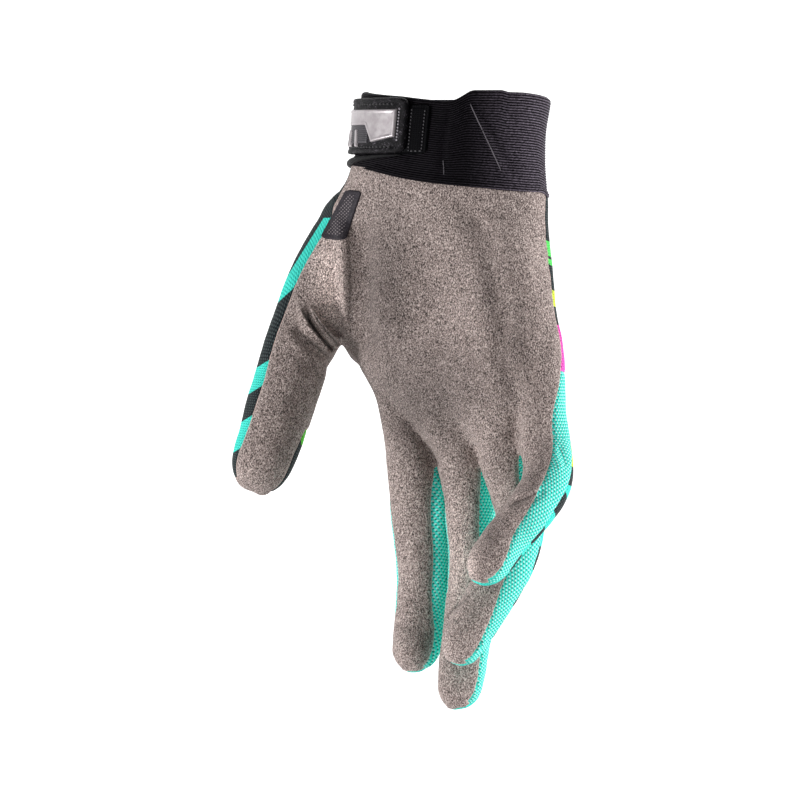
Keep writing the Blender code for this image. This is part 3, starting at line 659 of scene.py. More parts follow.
def carried_circle(z: Array, angle: Array, lift: float, fat: Array, around: int) -> tuple[Array, list, Array]:
    """A closed round cord laid on the palm tube.

    Args:
        z: heights of its middle line.
        angle: angles of its middle line.
        lift: height of its middle line over the tube.
        fat: its radius along the line.
        around: number of points round it.

    Returns:
        The points, the faces, and unit vectors away from the tube along the line.
    """
    middle = tube_point(z, angle, lift)
    out = unit(tube_point(z, angle, 5.0) - tube_point(z, angle, 0.0))
    side = unit(np.cross(unit(np.gradient(middle, axis=0)), out))
    turn = np.linspace(0, 2 * math.pi, around, endpoint=False)
    ring = np.cos(turn)[None, :, None] * side[:, None] + np.sin(turn)[None, :, None] * out[:, None]
    points = middle[:, None] + ring * fat[:, None, None]
    index = np.arange(points.size // 3).reshape(points.shape[:2])
    faces = grid_quads(close_round(index))[:, ::-1].tolist()
    faces += [index[0].tolist(), index[-1, ::-1].tolist()]
    return points.reshape(-1, 3), faces, out


class Value:
    """A shader socket's output, with Python's operators for shader maths."""

    def __init__(self, paint: "Paint", socket: bpy.types.NodeSocket) -> None:
        """Keeps the paint that the socket belongs to."""
        self.paint = paint
        self.socket = socket

    def math(self, operation: str, *others: "Value | float") -> "Value":
        """One Math node with this value first."""
        inputs = dict(enumerate((self, *others)))
        return self.paint.add("ShaderNodeMath", inputs=inputs, operation=operation)

    def __add__(self, other: "Value | float") -> "Value":
        """Sum."""
        return self.math("ADD", other)

    def __sub__(self, other: "Value | float") -> "Value":
        """Difference."""
        return self.math("SUBTRACT", other)

    def __mul__(self, other: "Value | float") -> "Value":
        """Product."""
        return self.math("MULTIPLY", other)

    def __truediv__(self, other: "Value | float") -> "Value":
        """Quotient."""
        return self.math("DIVIDE", other)

    def __abs__(self) -> "Value":
        """Size without sign."""
        return self.math("ABSOLUTE")

    def __invert__(self) -> "Value":
        """One minus this value."""
        return (self * -1.0) + 1.0

    def least(self, other: "Value | float") -> "Value":
        """The smaller of two values."""
        return self.math("MINIMUM", other)

    def most(self, other: "Value | float") -> "Value":
        """The larger of two values."""
        return self.math("MAXIMUM", other)

    def fraction(self) -> "Value":
        """What is left over the whole number below."""
        return self.math("FRACT")

    def smooth(self, low: float, high: float) -> "Value":
        """0 at low, 1 at high and a smooth step between; low may be the larger."""
        inputs = {"Value": self, "From Min": low, "From Max": high}
        return self.paint.add("ShaderNodeMapRange", inputs=inputs, interpolation_type="SMOOTHSTEP")

    def within(self, half: float) -> "Value":
        """1 where the value's size is under half, and 0 beyond, with a soft edge."""
        return abs(self).smooth(half + PRINT_SOFT, half - PRINT_SOFT)

    def past(self, limit: float, soft: float = PRINT_SOFT) -> "Value":
        """0 under the limit and 1 over it, with a soft edge."""
        return self.smooth(limit - soft, limit + soft)


class Paint:
    """A material and its node tree, grown with one general node-adding method."""

    def __init__(self, name: str, roughness: float, metallic: float = 0.0, specular: float = 0.5) -> None:
        """Makes the material with its constant roughness, metallic and specular values."""
        self.material = bpy.data.materials.new(name)
        self.material.use_nodes = True
        self.tree = self.material.node_tree
        self.shader = self.tree.nodes["Principled BSDF"]
        self.constant("Roughness", roughness)
        self.constant("Metallic", metallic)
        self.constant("Specular IOR Level", specular)

    def constant(self, name: str, value: float | Colour) -> None:
        """Sets a value that is the same all over the surface on the shader's own socket."""
        self.shader.inputs[name].default_value = value if isinstance(value, (int, float)) else (*value, 1.0)

    def add(self, kind: str, output: int | str = 0, inputs: dict | None = None, **settings: object) -> Value:
        """Adds a node.

        Args:
            kind: the node's type.
            output: its output that is handed back.
            inputs: values or links for its inputs, by name or number.
            settings: the node's own settings.

        Returns:
            The chosen output.
        """
        node = self.tree.nodes.new(kind)
        for name, value in settings.items():
            setattr(node, name, value)
        for key, value in (inputs or {}).items():
            if isinstance(value, Value):
                self.tree.links.new(value.socket, node.inputs[key])
            else:
                node.inputs[key].default_value = value
        return Value(self, node.outputs[output])

    def link(self, name: str, value: Value) -> None:
        """Links a varying value to one of the shader's sockets."""
        self.tree.links.new(value.socket, self.shader.inputs[name])

    def place(self) -> Value:
        """The piece's own coordinates, in metres."""
        return self.add("ShaderNodeTexCoord", output="Object")

    def cloth(self) -> Value:
        """The piece's cloth coordinates, in millimetres along the weave."""
        uv = self.add("ShaderNodeUVMap", uv_map="cloth")
        return self.vector("SCALE", uv, {"Scale": 1 / UV_PER_MM})

    def attribute(self, name: str) -> Value:
        """A number that the mesh carries at its vertices."""
        return self.add("ShaderNodeAttribute", output="Fac", attribute_name=name)

    def vector(
        self, operation: str, first: Value, inputs: dict | None = None, output: int | str = 0
    ) -> Value:
        """One Vector Math node with this vector first."""
        return self.add("ShaderNodeVectorMath", output, {0: first, **(inputs or {})}, operation=operation)

    def along(self, place: Value, way: Array | tuple) -> Value:
        """How far a place lies along a way, in millimetres."""
        return self.vector("DOT_PRODUCT", place, {1: tuple(np.asarray(way, float) / MM)}, "Value")

    def axis(self, place: Value, axis: str) -> Value:
        """One part of a vector."""
        return self.add("ShaderNodeSeparateXYZ", axis, {0: place})

    def noise(self, place: Value, grain: float, detail: float = 2.0, rough: float = 0.5) -> Value:
        """Noise whose grains are so many millimetres across, on coordinates in metres."""
        inputs = {"Vector": place, "Scale": 1 / (grain * MM), "Detail": detail, "Roughness": rough}
        return self.add("ShaderNodeTexNoise", inputs=inputs)

    def stretched(self, place: Value, turn: tuple, scale: tuple) -> Value:
        """Coordinates turned and stretched, for grain that runs one way."""
        turned = tuple(math.radians(angle) for angle in turn)
        return self.add("ShaderNodeMapping", inputs={"Vector": place, "Rotation": turned, "Scale": scale})

    def mix(self, share: Value | float, first: Value | Colour, second: Value | Colour) -> Value:
        """The first colour where share is 0 and the second where it is 1."""
        sides = [c if isinstance(c, Value) else (*c, 1.0) for c in (first, second)]
        return self.add("ShaderNodeMix", 2, {0: share, 6: sides[0], 7: sides[1]}, data_type="RGBA")

    def lattice(self, place: Value, cell: tuple[float, float], halves: tuple = (0.0, 0.5)) -> Value:
        """Distance to the nearest cell's middle, over lattices that are shifted by these shares of a cell."""
        size = (*cell, 1.0)
        nearest = None
        for half in halves:
            cells = self.vector("ADD", self.vector("DIVIDE", place, {1: size}), {1: (half, half, 0.0)})
            part = self.vector("SUBTRACT", self.vector("FRACTION", cells), {1: (0.5, 0.5, 0.0)})
            away = self.vector("LENGTH", self.vector("MULTIPLY", part, {1: size}), output="Value")
            nearest = away if nearest is None else nearest.least(away)
        return nearest

    def relief(self, height: Value, depth: float, strength: float = 1.0) -> None:
        """Bumps the surface: height 1 stands depth millimetres over height 0."""
        inputs = {"Height": height, "Distance": depth * MM, "Strength": strength}
        self.link("Normal", self.add("ShaderNodeBump", inputs=inputs))


@dataclass(frozen=True)
class SuedeFinish:
    """Napped synthetic suede: flecked taupe with a soft sheen and a paler cut edge, with painted light and
    shade in patches and painted shade in its creases.
    """

    middle: Colour = srgb(156, 140, 135)
    light: Colour = srgb(224, 207, 201)
    dark: Colour = srgb(60, 52, 49)
    edge: Colour = srgb(206, 180, 172)
    grain: float = 0.43
    edge_width: float = 0.42

    @staticmethod
    def crease(paint: Paint, crease: Crease) -> Value:
        """A crease's depth at each place: a bell across its bowed line that fades at both ends."""
        start, end = np.array(crease.start), np.array(crease.end)
        run = np.linalg.norm(end - start)
        way = (end - start) / run
        side = np.array([-way[1], way[0]])
        plane = np.array([VIEW_RIGHT, [0, 0, 1.0]])
        u = (paint.along(paint.place(), way @ plane) - start @ way) / run
        middle = u * ~u
        off = paint.along(paint.place(), side @ plane) - start @ side - middle * (4 * crease.bow)
        return abs(off).smooth(crease.width, 0.0) * middle.smooth(0.0, 0.14) * crease.depth

    def paint(self) -> bpy.types.Material:
        """Builds the suede."""
        paint = Paint("suede", 0.95, specular=0.15)
        place = paint.stretched(paint.place(), (0, 28, 0), (1.0, 1.0, 0.75))
        fleck = paint.noise(place, self.grain, 2.0, 0.55)
        curl = paint.noise(place, 2.2, 2.0, 0.6)
        cloud = paint.noise(place, 12.0, 2.0)
        tone = fleck + (curl - 0.5) * 0.1 + (cloud - 0.5) * 0.08
        colour = paint.mix(tone.smooth(0.49, 0.35), self.middle, self.dark)
        colour = paint.mix(tone.smooth(0.52, 0.65), colour, self.light)
        # Painted light and shade: the patches' factor scales the colour.
        colour = paint.vector("SCALE", colour, {"Scale": paint.attribute("nap")})
        depth = None
        for crease in CREASES:
            one = self.crease(paint, crease)
            depth = one if depth is None else depth.most(one)
        # Painted shade: the colour darkens along the creases with their depth.
        colour = paint.mix(depth * 0.8, colour, self.dark)
        rim = paint.attribute("rim")
        colour = paint.mix(rim.smooth(self.edge_width, self.edge_width * 0.4), colour, self.edge)
        paint.link("Base Color", colour)
        paint.relief(fleck + curl * 0.3 - depth * 1.4, 0.85, 1.0)
        paint.constant("Sheen Weight", 0.12)
        paint.constant("Sheen Roughness", 0.6)
        return paint.material


@dataclass(frozen=True)
class MeshFinish:
    """Stretch mesh: rows of small holes painted dark with the shade inside them, staggered, with a painted
    highlight on the thread under each.
    """

    colour: Colour = TURQUOISE
    across: float = 1.42
    rows: float = 2.3
    hole: float = 0.25
    to_highlight: tuple[float, float, float] = (0.16, 0.46, 0.0)
    pale: Colour = srgb(214, 255, 248)

    def weave(self, paint: Paint) -> tuple[Value, Value]:
        """The holes, and the painted highlights on the threads below them, each from 0 to 1."""
        place = paint.cloth()
        cell = (self.across, self.rows)
        hole = paint.lattice(place, cell).smooth(self.hole * 1.5, self.hole * 0.6)
        beside = paint.vector("ADD", place, {1: self.to_highlight})
        thread = paint.lattice(beside, cell).smooth(self.hole * 2.3, self.hole * 0.8)
        return hole, thread * ~hole

    def cover(self, paint: Paint, colour: Value | Colour, shade: float, highlight: float) -> Value:
        """Colours and bumps the mesh over a base colour, with painted shade in the holes and a painted
        highlight on the threads, and hands the colour back.
        """
        hole, thread = self.weave(paint)
        fuzz = paint.noise(paint.place(), 0.35, 2.0, 0.6)
        # Painted highlight: a pale crescent on the thread below each hole.
        colour = paint.mix(thread * highlight, colour, self.pale)
        # Painted shade: the holes darken.
        colour = paint.mix(hole * shade, colour, (0.0, 0.03, 0.03))
        colour = paint.mix(fuzz.smooth(0.6, 0.35) * 0.12, colour, (0.0, 0.05, 0.045))
        paint.relief(thread * 0.7 - hole + fuzz * 0.3, 0.45, 0.8)
        return colour

    def paint(self) -> bpy.types.Material:
        """Builds the plain turquoise mesh."""
        paint = Paint("side_mesh", 0.7, specular=0.15)
        paint.link("Base Color", self.cover(paint, self.colour, 0.72, 0.8))
        return paint.material


@dataclass(frozen=True)
class PrintFinish:
    """Mesh with printed bands, and on the fingers turquoise with black bars across."""

    name: str
    bands: tuple[Band, ...]
    fingers: bool = False
    weave: MeshFinish = MeshFinish(across=1.2, rows=1.9, hole=0.2)

    def paint(self) -> bpy.types.Material:
        """Builds the print: each band lies between two straight lines of the photograph's plane."""
        paint = Paint(self.name, 0.7, specular=0.15)
        place = paint.place()
        colour: Value | Colour = BLACK_PRINT
        for band in self.bands:
            share = (paint.along(place, band_way(band.slant)) - band.offset).within(band.width / 2)
            colour = paint.mix(share, colour, band.colour)
        if self.fingers:
            start = paint.along(place, band_way(self.bands[0].slant)).past(FINGER_PRINT_START)
            run = paint.axis(paint.cloth(), "Y") - (BAR_MIDDLE - BAR_PERIOD / 2)
            bar = (((run / BAR_PERIOD).fraction() - 0.5) * BAR_PERIOD).within(BAR_LENGTH / 2)
            bar = bar * paint.attribute("tip").past(TIP_PLAIN)
            colour = paint.mix(start, colour, paint.mix(bar, TURQUOISE, BLACK_PRINT))
        # The cover adds painted shade in the holes and a faint painted highlight on the threads.
        paint.link("Base Color", self.weave.cover(paint, colour, 0.6, 0.08))
        return paint.material


@dataclass(frozen=True)
class KnitFinish:
    """Black rib knit: darker between the ribs as painted shade, paler crests towards the little finger's side
    as painted light, with short fibres along them.
    """

    crest: Colour = srgb(34, 30, 36)
    pale: Colour = srgb(126, 116, 130)
    valley: Colour = srgb(2, 1, 3)

    def paint(self) -> bpy.types.Material:
        """Builds the knit, whose ribs the mesh carries."""
        paint = Paint("cuff_knit", 0.6, specular=0.06)
        rib = paint.attribute("rib")
        cloth = paint.stretched(paint.place(), (0, 0, 0), (1.0, 1.0, 2.0))
        fibre = paint.noise(cloth, 0.8, 3.0, 0.7)
        tone = rib * 0.8 + (fibre - 0.5) * 1.6
        # Painted light: the crests grow paler towards the right, where the side lamp falls; the valleys' dark
        # is painted shade.
        side = paint.along(paint.place(), VIEW_RIGHT).smooth(4.0, 30.0)
        colour = paint.mix(tone.smooth(0.25, 1.25), self.valley, paint.mix(side, self.crest, self.pale))
        paint.link("Base Color", colour)
        paint.relief(fibre, 0.2, 0.6)
        return paint.material


@dataclass(frozen=True)
class StrapFinish:
    """Brushed loop cloth of the strap: charcoal with pale specks, partly flecks of its own and partly painted
    glints.
    """

    name: str = "strap_weave"
    dark: Colour = srgb(5, 4, 7)
    light: Colour = srgb(120, 113, 122)

    def paint(self) -> bpy.types.Material:
        """Builds the strap cloth."""
        paint = Paint(self.name, 0.5, specular=0.12)
        place = paint.place()
        # The pale specks are partly the cloth's own flecks and partly painted glints.
        speck = paint.noise(place, 0.45, 3.0, 0.75)
        cloud = paint.noise(place, 2.4, 2.0)
        tone = speck + (cloud - 0.5) * 0.4
        paint.link("Base Color", paint.mix(tone.smooth(0.54, 0.78), self.dark, self.light))
        paint.relief(speck, 0.35, 0.8)
        return paint.material


@dataclass(frozen=True)
class HookFinish:
    """Glossy black hook tape with a fine grid of hooks."""

    colour: Colour = srgb(4, 4, 6)
    tip: Colour = srgb(12, 11, 14)
    pitch: float = 0.7

    def paint(self) -> bpy.types.Material:
        """Builds the tape: a lattice of small raised points."""
        paint = Paint("hook_tape", 0.5, specular=0.03)
        away = paint.lattice(paint.cloth(), (self.pitch, self.pitch), (0.0,))
        point = away.smooth(0.42 * self.pitch, 0.1 * self.pitch)
        paint.link("Base Color", paint.mix(point, self.colour, self.tip))
        paint.relief(point, 0.18, 0.8)
        return paint.material


@dataclass(frozen=True)
class RubberFinish:
    """Satin moulded rubber with a faint haze."""

    name: str
    colour: Colour
    worn: Colour
    roughness: float
    metallic: float = 0.0

    def paint(self) -> bpy.types.Material:
        """Builds the rubber: two close tones and a fine grain."""
        paint = Paint(self.name, self.roughness, self.metallic)
        place = paint.place()
        haze = paint.noise(place, 3.0, 3.0, 0.6)
        grain = paint.noise(place, 0.18, 2.0, 0.6)
        paint.link("Base Color", paint.mix(haze.smooth(0.3, 0.75), self.colour, self.worn))
        paint.link("Roughness", (haze - 0.5) * 0.25 + self.roughness)
        paint.relief(grain, 0.04, 0.5)
        return paint.material


@dataclass(frozen=True)
class LabelFinish:
    """Charcoal grip patch with a plain diamond of small raised dots."""

    base: Colour = srgb(34, 31, 36)
    worn: Colour = srgb(66, 61, 67)
    dot: Colour = srgb(124, 116, 118)
    pitch: float = 1.3
    margin: float = 1.7

    def paint(self) -> bpy.types.Material:
        """Builds the patch: two crossed lattices of dots inside a bare margin."""
        paint = Paint("grip_patch", 0.62, specular=0.15)
        inside = paint.attribute("rim").past(self.margin, 0.1)
        away = paint.lattice(paint.cloth(), (self.pitch, self.pitch))
        dot = away.smooth(0.23 * self.pitch, 0.15 * self.pitch) * inside
        grain = paint.noise(paint.place(), 0.5, 3.0, 0.7)
        base = paint.mix(grain.smooth(0.35, 0.7), self.base, self.worn)
        paint.link("Base Color", paint.mix(dot, base, self.dot))
        paint.relief(dot + grain * 0.3, 0.15, 0.7)
        return paint.material


@dataclass(frozen=True)
class ThreadFinish:
    """Twisted sewing thread."""

    name: str
    colour: Colour

    def paint(self) -> bpy.types.Material:
        """Builds the thread: a fine twist in its tone."""
        paint = Paint(self.name, 0.6)
        twist = paint.noise(paint.place(), 0.2, 2.0)
        dark = tuple(c * 0.5 for c in self.colour)
        paint.link("Base Color", paint.mix(twist.smooth(0.35, 0.65), self.colour, dark))
        paint.constant("Sheen Weight", 0.2)
        return paint.material


def make_piece(
    name: str,
    points: Array,
    faces: list,
    material: bpy.types.Material,
    replaces: tuple[str, ...] = (),
    cloth: Array | None = None,
    numbers: dict[str, Array] | None = None,
) -> None:
    """Makes one finished piece that rides on the glove's body.

    Args:
        name: the piece's name.
        points: vertices in millimetres.
        faces: lists of vertex numbers, anticlockwise from outside.
        material: its finish.
        replaces: the nodes it stands for.
        cloth: a cloth coordinate in millimetres for every corner of every face, in order.
        numbers: numbers that the vertices carry, by name.
    """
    mesh = bpy.data.meshes.new(name)
    mesh.from_pydata((points * MM).tolist(), [], faces)
    if cloth is not None:
        layer = mesh.uv_layers.new(name="cloth")
        layer.uv.foreach_set("vector", (cloth.reshape(-1) * UV_PER_MM).astype(np.float32))
    for key, values in (numbers or {}).items():
        mesh.attributes.new(key, "FLOAT", "POINT").data.foreach_set("value", values.astype(np.float32))
    mesh.materials.append(material)
    mesh.shade_smooth()
    mesh.set_sharp_from_angle(angle=math.radians(SHARP_ANGLE))
    obj = add_object(name, mesh)
    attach(obj, BODY)
    if replaces:
        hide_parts(*replaces)
    LOG.info("%s: %d vertices, %d faces", name, len(points), len(faces))


def rim_edges(quads: Array) -> Array:
    """The edges of quads that no neighbour runs the other way, as pairs of vertex numbers."""
    edges = np.concatenate([quads[:, [i, (i + 1) % 4]] for i in range(4)])
    count = int(quads.max()) + 1
    key = edges[:, 0].astype(np.int64) * count + edges[:, 1]
    back = edges[:, 1].astype(np.int64) * count + edges[:, 0]
    return edges[~np.isin(key, back)]


def closed_wall(quads: Array, count: int) -> list:
    """Faces of a wall: the quads outside, the same reversed inside, and a band along the rim.

    Args:
        quads: quads of the outer side.
        count: number of vertices of each side; the inner side's follow the outer side's.

    Returns:
        The faces as lists.
    """
    rim = rim_edges(quads)
    band = np.stack([rim[:, 1], rim[:, 0], rim[:, 0] + count, rim[:, 1] + count], axis=1)
    return np.concatenate([quads, quads[:, ::-1] + count, band]).tolist()


def wall_cloth(quads: Array, corner_cloth: Array, count: int) -> Array:
    """Cloth coordinates for closed_wall's faces, from those of the outer quads' corners."""
    vertex = np.zeros((count, 2))
    vertex[quads.reshape(-1)] = corner_cloth.reshape(-1, 2)
    rim = rim_edges(quads)
    band = vertex[np.stack([rim[:, 1], rim[:, 0], rim[:, 0], rim[:, 1]], axis=1)]
    return np.concatenate([corner_cloth, corner_cloth[:, ::-1], band])


class FineCloth(NamedTuple):
    """The hand's fine surface: vertices, quads, and for each quad its panel, digit and cloth corners."""

    points: Array
    quads: Array
    panel: Array
    digit: Array
    cloth: Array


@dataclass
class HandCage:
    """The coarse cage of the hand: a palm tube that divides into finger tubes, with a thumb tube grown on.

    Each finger has per_finger columns on its front and on its back and side columns on each side.
    """

    per_finger: int = 4
    side: int = 4
    palm_rows: int = 15
    thumb_top_row: int = 1
    thumb_crotch_row: int = 9
    side_panel_row: int = 11
    crotch_suede: tuple[int, int] = (3, 8)
    crotch_rows: int = 4
    finger_rings: int = 13
    thumb_root_rings: int = 5
    thumb_rings: int = 8
    tip_reach: float = 1.15
    shoulder_angles: tuple[float, float] = (32.0, 55.0)
    tip_power: float = 2.2
    lobes_start: float = 0.66
    lobes_power: float = 1.4
    thumb_leaves: tuple[float, float, float] = (-0.80, -0.25, -0.55)
    root_pull: float = 0.39
    soft_rounds: int = 24
    finger_cloth_start: float = 138.0
    parts: list[Array] = field(default_factory=list)
    count: int = 0
    quads: list[Array] = field(default_factory=list)
    panels: list[Array] = field(default_factory=list)
    digits: list[Array] = field(default_factory=list)
    cloths: list[Array] = field(default_factory=list)

    def add_points(self, points: Array) -> Array:
        """Adds points and returns their numbers in the same layout."""
        flat = points.reshape(-1, 3)
        self.parts.append(flat)
        self.count += len(flat)
        return np.arange(self.count - len(flat), self.count).reshape(points.shape[:-1])

    def places(self, index: Array) -> Array:
        """The points with these numbers."""
        return np.concatenate(self.parts)[index]

    def add_patch(self, index: Array, panel: Array, digit: Digit, cloth: Array) -> None:
        """Adds the quads of a grid of numbers, leaving out those of no panel.

        Args:
            index: grid of vertex numbers.
            panel: panel of each cell.
            digit: digit of the whole patch.
            cloth: cloth coordinates of the grid's corners.
        """
        keep = panel.reshape(-1) != Panel.NO_PANEL
        flat = grid_quads(np.arange(index.size).reshape(index.shape))[keep]
        self.quads.append(index.reshape(-1)[flat])
        self.panels.append(panel.reshape(-1)[keep])
        self.digits.append(np.full(keep.sum(), digit))
        self.cloths.append(cloth.reshape(-1, 2)[flat])

    @staticmethod
    def cloth_of(points: Array, start: float) -> Array:
        """Cloth coordinates of a tube's grid: length round each ring, and mean length down the tube."""
        round_it = np.linalg.norm(np.diff(points, axis=1), axis=2)
        u = np.concatenate([np.zeros((len(points), 1)), np.cumsum(round_it, axis=1)], axis=1)
        down = np.linalg.norm(np.diff(points, axis=0), axis=2).mean(axis=1)
        v = start + np.concatenate([[0], np.cumsum(down)])
        return np.stack([u - u.mean(axis=1, keepdims=True), np.broadcast_to(v[:, None], u.shape)], axis=-1)

    def ring_angles(self, left: float, right: float, back_seam: float, steps: int) -> Array:
        """Angles round a digit: across its front, down its right side, across its back, up its left side."""
        front = np.linspace(-left, right, steps + 1)
        right_side = np.linspace(right, back_seam, self.side + 1)[1:-1]
        back = np.linspace(back_seam, 360 - back_seam, steps + 1)
        left_side = np.linspace(360 - back_seam, 360 - left, self.side + 1)[1:-1]
        return np.concatenate([front, right_side, back, left_side])

    def digit_rings(self, stations: tuple[Station, ...], rings: int, steps: int, back_seam: float) -> tuple:
        """Rings of a digit's tube: ellipses across a smooth path that narrow as a dome at the tip.

        Args:
            stations: the digit's table.
            rings: number of rings.
            steps: columns on the front and on the back.
            back_seam: angle from the pad to the seams of the back.

        Returns:
            The rings, and the end point of the tip.
        """
        table = np.array(stations, float)
        chord = np.concatenate([[0], np.cumsum(np.linalg.norm(np.diff(table[:, :3], axis=0), axis=1))])
        reach = table[-1, 3] * self.tip_reach
        shoulder = chord[-1] - reach
        at = np.concatenate([np.linspace(0, shoulder, rings - 2), shoulder + reach * self.shoulder_sines()])
        rows = read_table(chord, table, at)
        narrowing = np.sqrt(1 - np.clip((at - shoulder) / reach, 0, 1) ** self.tip_power)
        path = rows[:, :3]
        along = unit(np.gradient(path, axis=0))
        turns = np.radians(rows[:, 5])
        pad = np.stack([np.sin(turns), -np.cos(turns), np.zeros_like(turns)], axis=1)
        pad = unit(pad - np.sum(pad * along, axis=1, keepdims=True) * along)
        side = np.cross(pad, along)
        angles = np.radians([self.ring_angles(row[6], row[7], back_seam, steps) for row in rows])
        wide = (rows[:, 3] * narrowing)[:, None] * np.sin(angles)
        deep = (rows[:, 4] * narrowing)[:, None] * np.cos(angles)
        ringed = path[:, None] + wide[..., None] * side[:, None] + deep[..., None] * pad[:, None]
        return ringed, read_table(chord, table, chord[-1:])[0, :3]

    def shoulder_sines(self) -> Array:
        """Where a tip's last two rings lie, as shares of its reach."""
        return np.sin(np.radians(self.shoulder_angles))

    def cap(
        self, ring: Array, steps: int, end: Array, panels: tuple[Panel, Panel], digit: Digit, v: float
    ) -> None:
        """Closes a tip with a grid of quads: a Coons mean of the ring's sides, raised to the end point.

        Args:
            ring: vertex numbers of the last ring.
            steps: columns on the front.
            end: the tip's end point.
            panels: panel of the front half and of the back half.
            digit: the digit.
            v: cloth length at the ring.
        """
        across, through = steps, self.side
        grid = np.full((through + 1, across + 1), -1)
        grid[0, :] = ring[: across + 1]
        grid[:, across] = ring[across : across + through + 1]
        grid[through, ::-1] = ring[across + through : 2 * across + through + 1]
        grid[1:through, 0] = ring[: 2 * across + through : -1]
        edge = self.places(np.maximum(grid, 0))
        u = np.linspace(-1, 1, across + 1)[None, 1:-1, None]
        w = np.linspace(-1, 1, through + 1)[1:-1, None, None]
        level = edge[1:-1, :1] * (1 - u) + edge[1:-1, -1:] * (1 + u)
        level = (level + edge[:1, 1:-1] * (1 - w) + edge[-1:, 1:-1] * (1 + w)) / 4
        rise = (1 - u**4) * (1 - w**4)
        middle = self.places(ring).mean(axis=0)
        grid[1:-1, 1:-1] = self.add_points(level + (end - middle) * rise)
        points = self.places(grid)
        width = np.linalg.norm(points[through, -1] - points[through, 0])
        depth = np.linalg.norm(points[-1] - points[0], axis=-1).mean()
        cloth_u = np.broadcast_to(np.linspace(0.5, -0.5, across + 1) * width, grid.shape)
        cloth_v = np.broadcast_to(v + np.linspace(depth, 0, through + 1)[:, None], grid.shape)
        halves = np.repeat(panels, (through // 2, through - through // 2))
        panel = np.broadcast_to(halves[:, None], (through, across))
        self.add_patch(grid, panel, digit, np.stack([cloth_u, cloth_v], axis=-1))

    def finger_bases(self) -> tuple[dict, dict]:
        """Rings and end points of the fingers, with the sides of neighbours' first rings made one."""
        made = {
            digit: self.digit_rings(stations, self.finger_rings, self.per_finger, BACK_SEAM)
            for digit, stations in FINGERS.items()
        }
        rings = {digit: ringed for digit, (ringed, _) in made.items()}
        first, wide = self.per_finger, self.side
        right_side = np.arange(first, first + wide + 1)
        left_side = np.concatenate([[0], np.arange(2 * first + 2 * wide - 1, 2 * first + wide - 1, -1)])
        for left, right in zip(list(FINGERS)[:-1], list(FINGERS)[1:]):
            shared = (rings[left][0][right_side] + rings[right][0][left_side]) / 2
            rings[left][0][right_side] = shared
            rings[right][0][left_side] = shared
        return rings, {digit: end for digit, (_, end) in made.items()}

    def column_angles(self, share: float) -> Array:
        """Angle of every column of the palm tube at a share of the way from cuff to webs."""
        table = np.array(SEAM_ANGLES, float)
        radial_front, radial_back, ulnar_front, ulnar_back = read_table(table[:, 0], table[:, 1:], share)
        fronts = 4 * self.per_finger
        front = np.linspace(-radial_front, ulnar_front, fronts + 1)
        ulnar = np.linspace(ulnar_front, ulnar_back, self.side + 1)[1:]
        back = np.linspace(ulnar_back, 360 - radial_back, fronts + 1)[1:]
        radial = np.linspace(360 - radial_back, 360 - radial_front, self.side + 1)[1:-1]
        return np.concatenate([front, ulnar, back, radial])

    def palm_grid(self, rings: dict) -> Array:
        """The palm tube's rows: ellipses at the cuff that become the row of finger bases at the webs."""
        n, start = self.per_finger, self.per_finger + self.side
        front = [rings[d][0][:n] for d in FINGERS] + [rings[Digit.LITTLE][0][n:start]]
        back = [rings[d][0][start : start + n] for d in reversed(FINGERS)]
        base = np.concatenate(front + back + [rings[Digit.INDEX][0][start + n :]])
        share = np.linspace(0, 1, self.palm_rows + 1)[:, None]
        angles = np.array([self.column_angles(s) for s in share[:, 0]])
        top = tube_point(np.full(len(base), CUFF_SEAM_Z), angles[0])
        z = (1 - share) * seam_z(top[:, 0]) + share * base[:, 2]
        drift = palm_section(z)[..., :2] - palm_section(base[:, 2])[:, :2]
        lobed = np.concatenate([base[:, :2] + drift, z[..., None]], axis=2)
        weight = smoothstep((share - self.lobes_start) / (1 - self.lobes_start)) ** self.lobes_power
        rows = (1 - weight[..., None]) * tube_point(z, angles) + weight[..., None] * lobed
        front_share = smoothstep((palm_section(rows[..., 2])[..., 1] - rows[..., 1] - 1.0) / 9.0)
        lift = np.zeros(z.shape)
        for mound in MOUNDS:
            lift += mound.height * bell_at(rows[..., 0], rows[..., 2], mound[:2], mound[2:4])
        lift[-1] = 0.0
        rows[..., 1] -= lift * front_share * smoothstep(share * 6)
        return rows

    def build_palm(self, rings: dict) -> Array:
        """Adds the palm tube with its hole for the thumb, and returns its grid of vertex numbers."""
        number = self.add_points(self.palm_grid(rings))
        ulnar, back = 4 * self.per_finger, 4 * self.per_finger + self.side
        radial = back + ulnar
        row = np.arange(self.palm_rows)[:, None]
        column = np.arange(number.shape[1])[None, :]
        panel = np.full((self.palm_rows, number.shape[1]), Panel.BACK_PANEL)
        panel[:, :ulnar] = Panel.PALM_PANEL
        panel[(column >= ulnar) & (column < back) & (row >= self.side_panel_row)] = Panel.LITTLE_SIDE_PANEL
        panel[(column >= radial) & (row >= self.thumb_crotch_row)] = Panel.INDEX_SIDE_PANEL
        hole = (column >= radial) & (row >= self.thumb_top_row) & (row < self.thumb_crotch_row)
        panel[hole] = Panel.NO_PANEL
        below = (row >= self.thumb_crotch_row) & (row < self.thumb_crotch_row + self.crotch_rows)
        panel[below & (column >= number.shape[1] - 2)] = Panel.PALM_PANEL
        closed = close_round(number)
        points = self.places(closed)
        cloth = self.cloth_of(points, 0.0)
        cloth[..., 1] = -points[..., 2]
        self.add_patch(closed, panel, Digit.PALM, cloth)
        return number

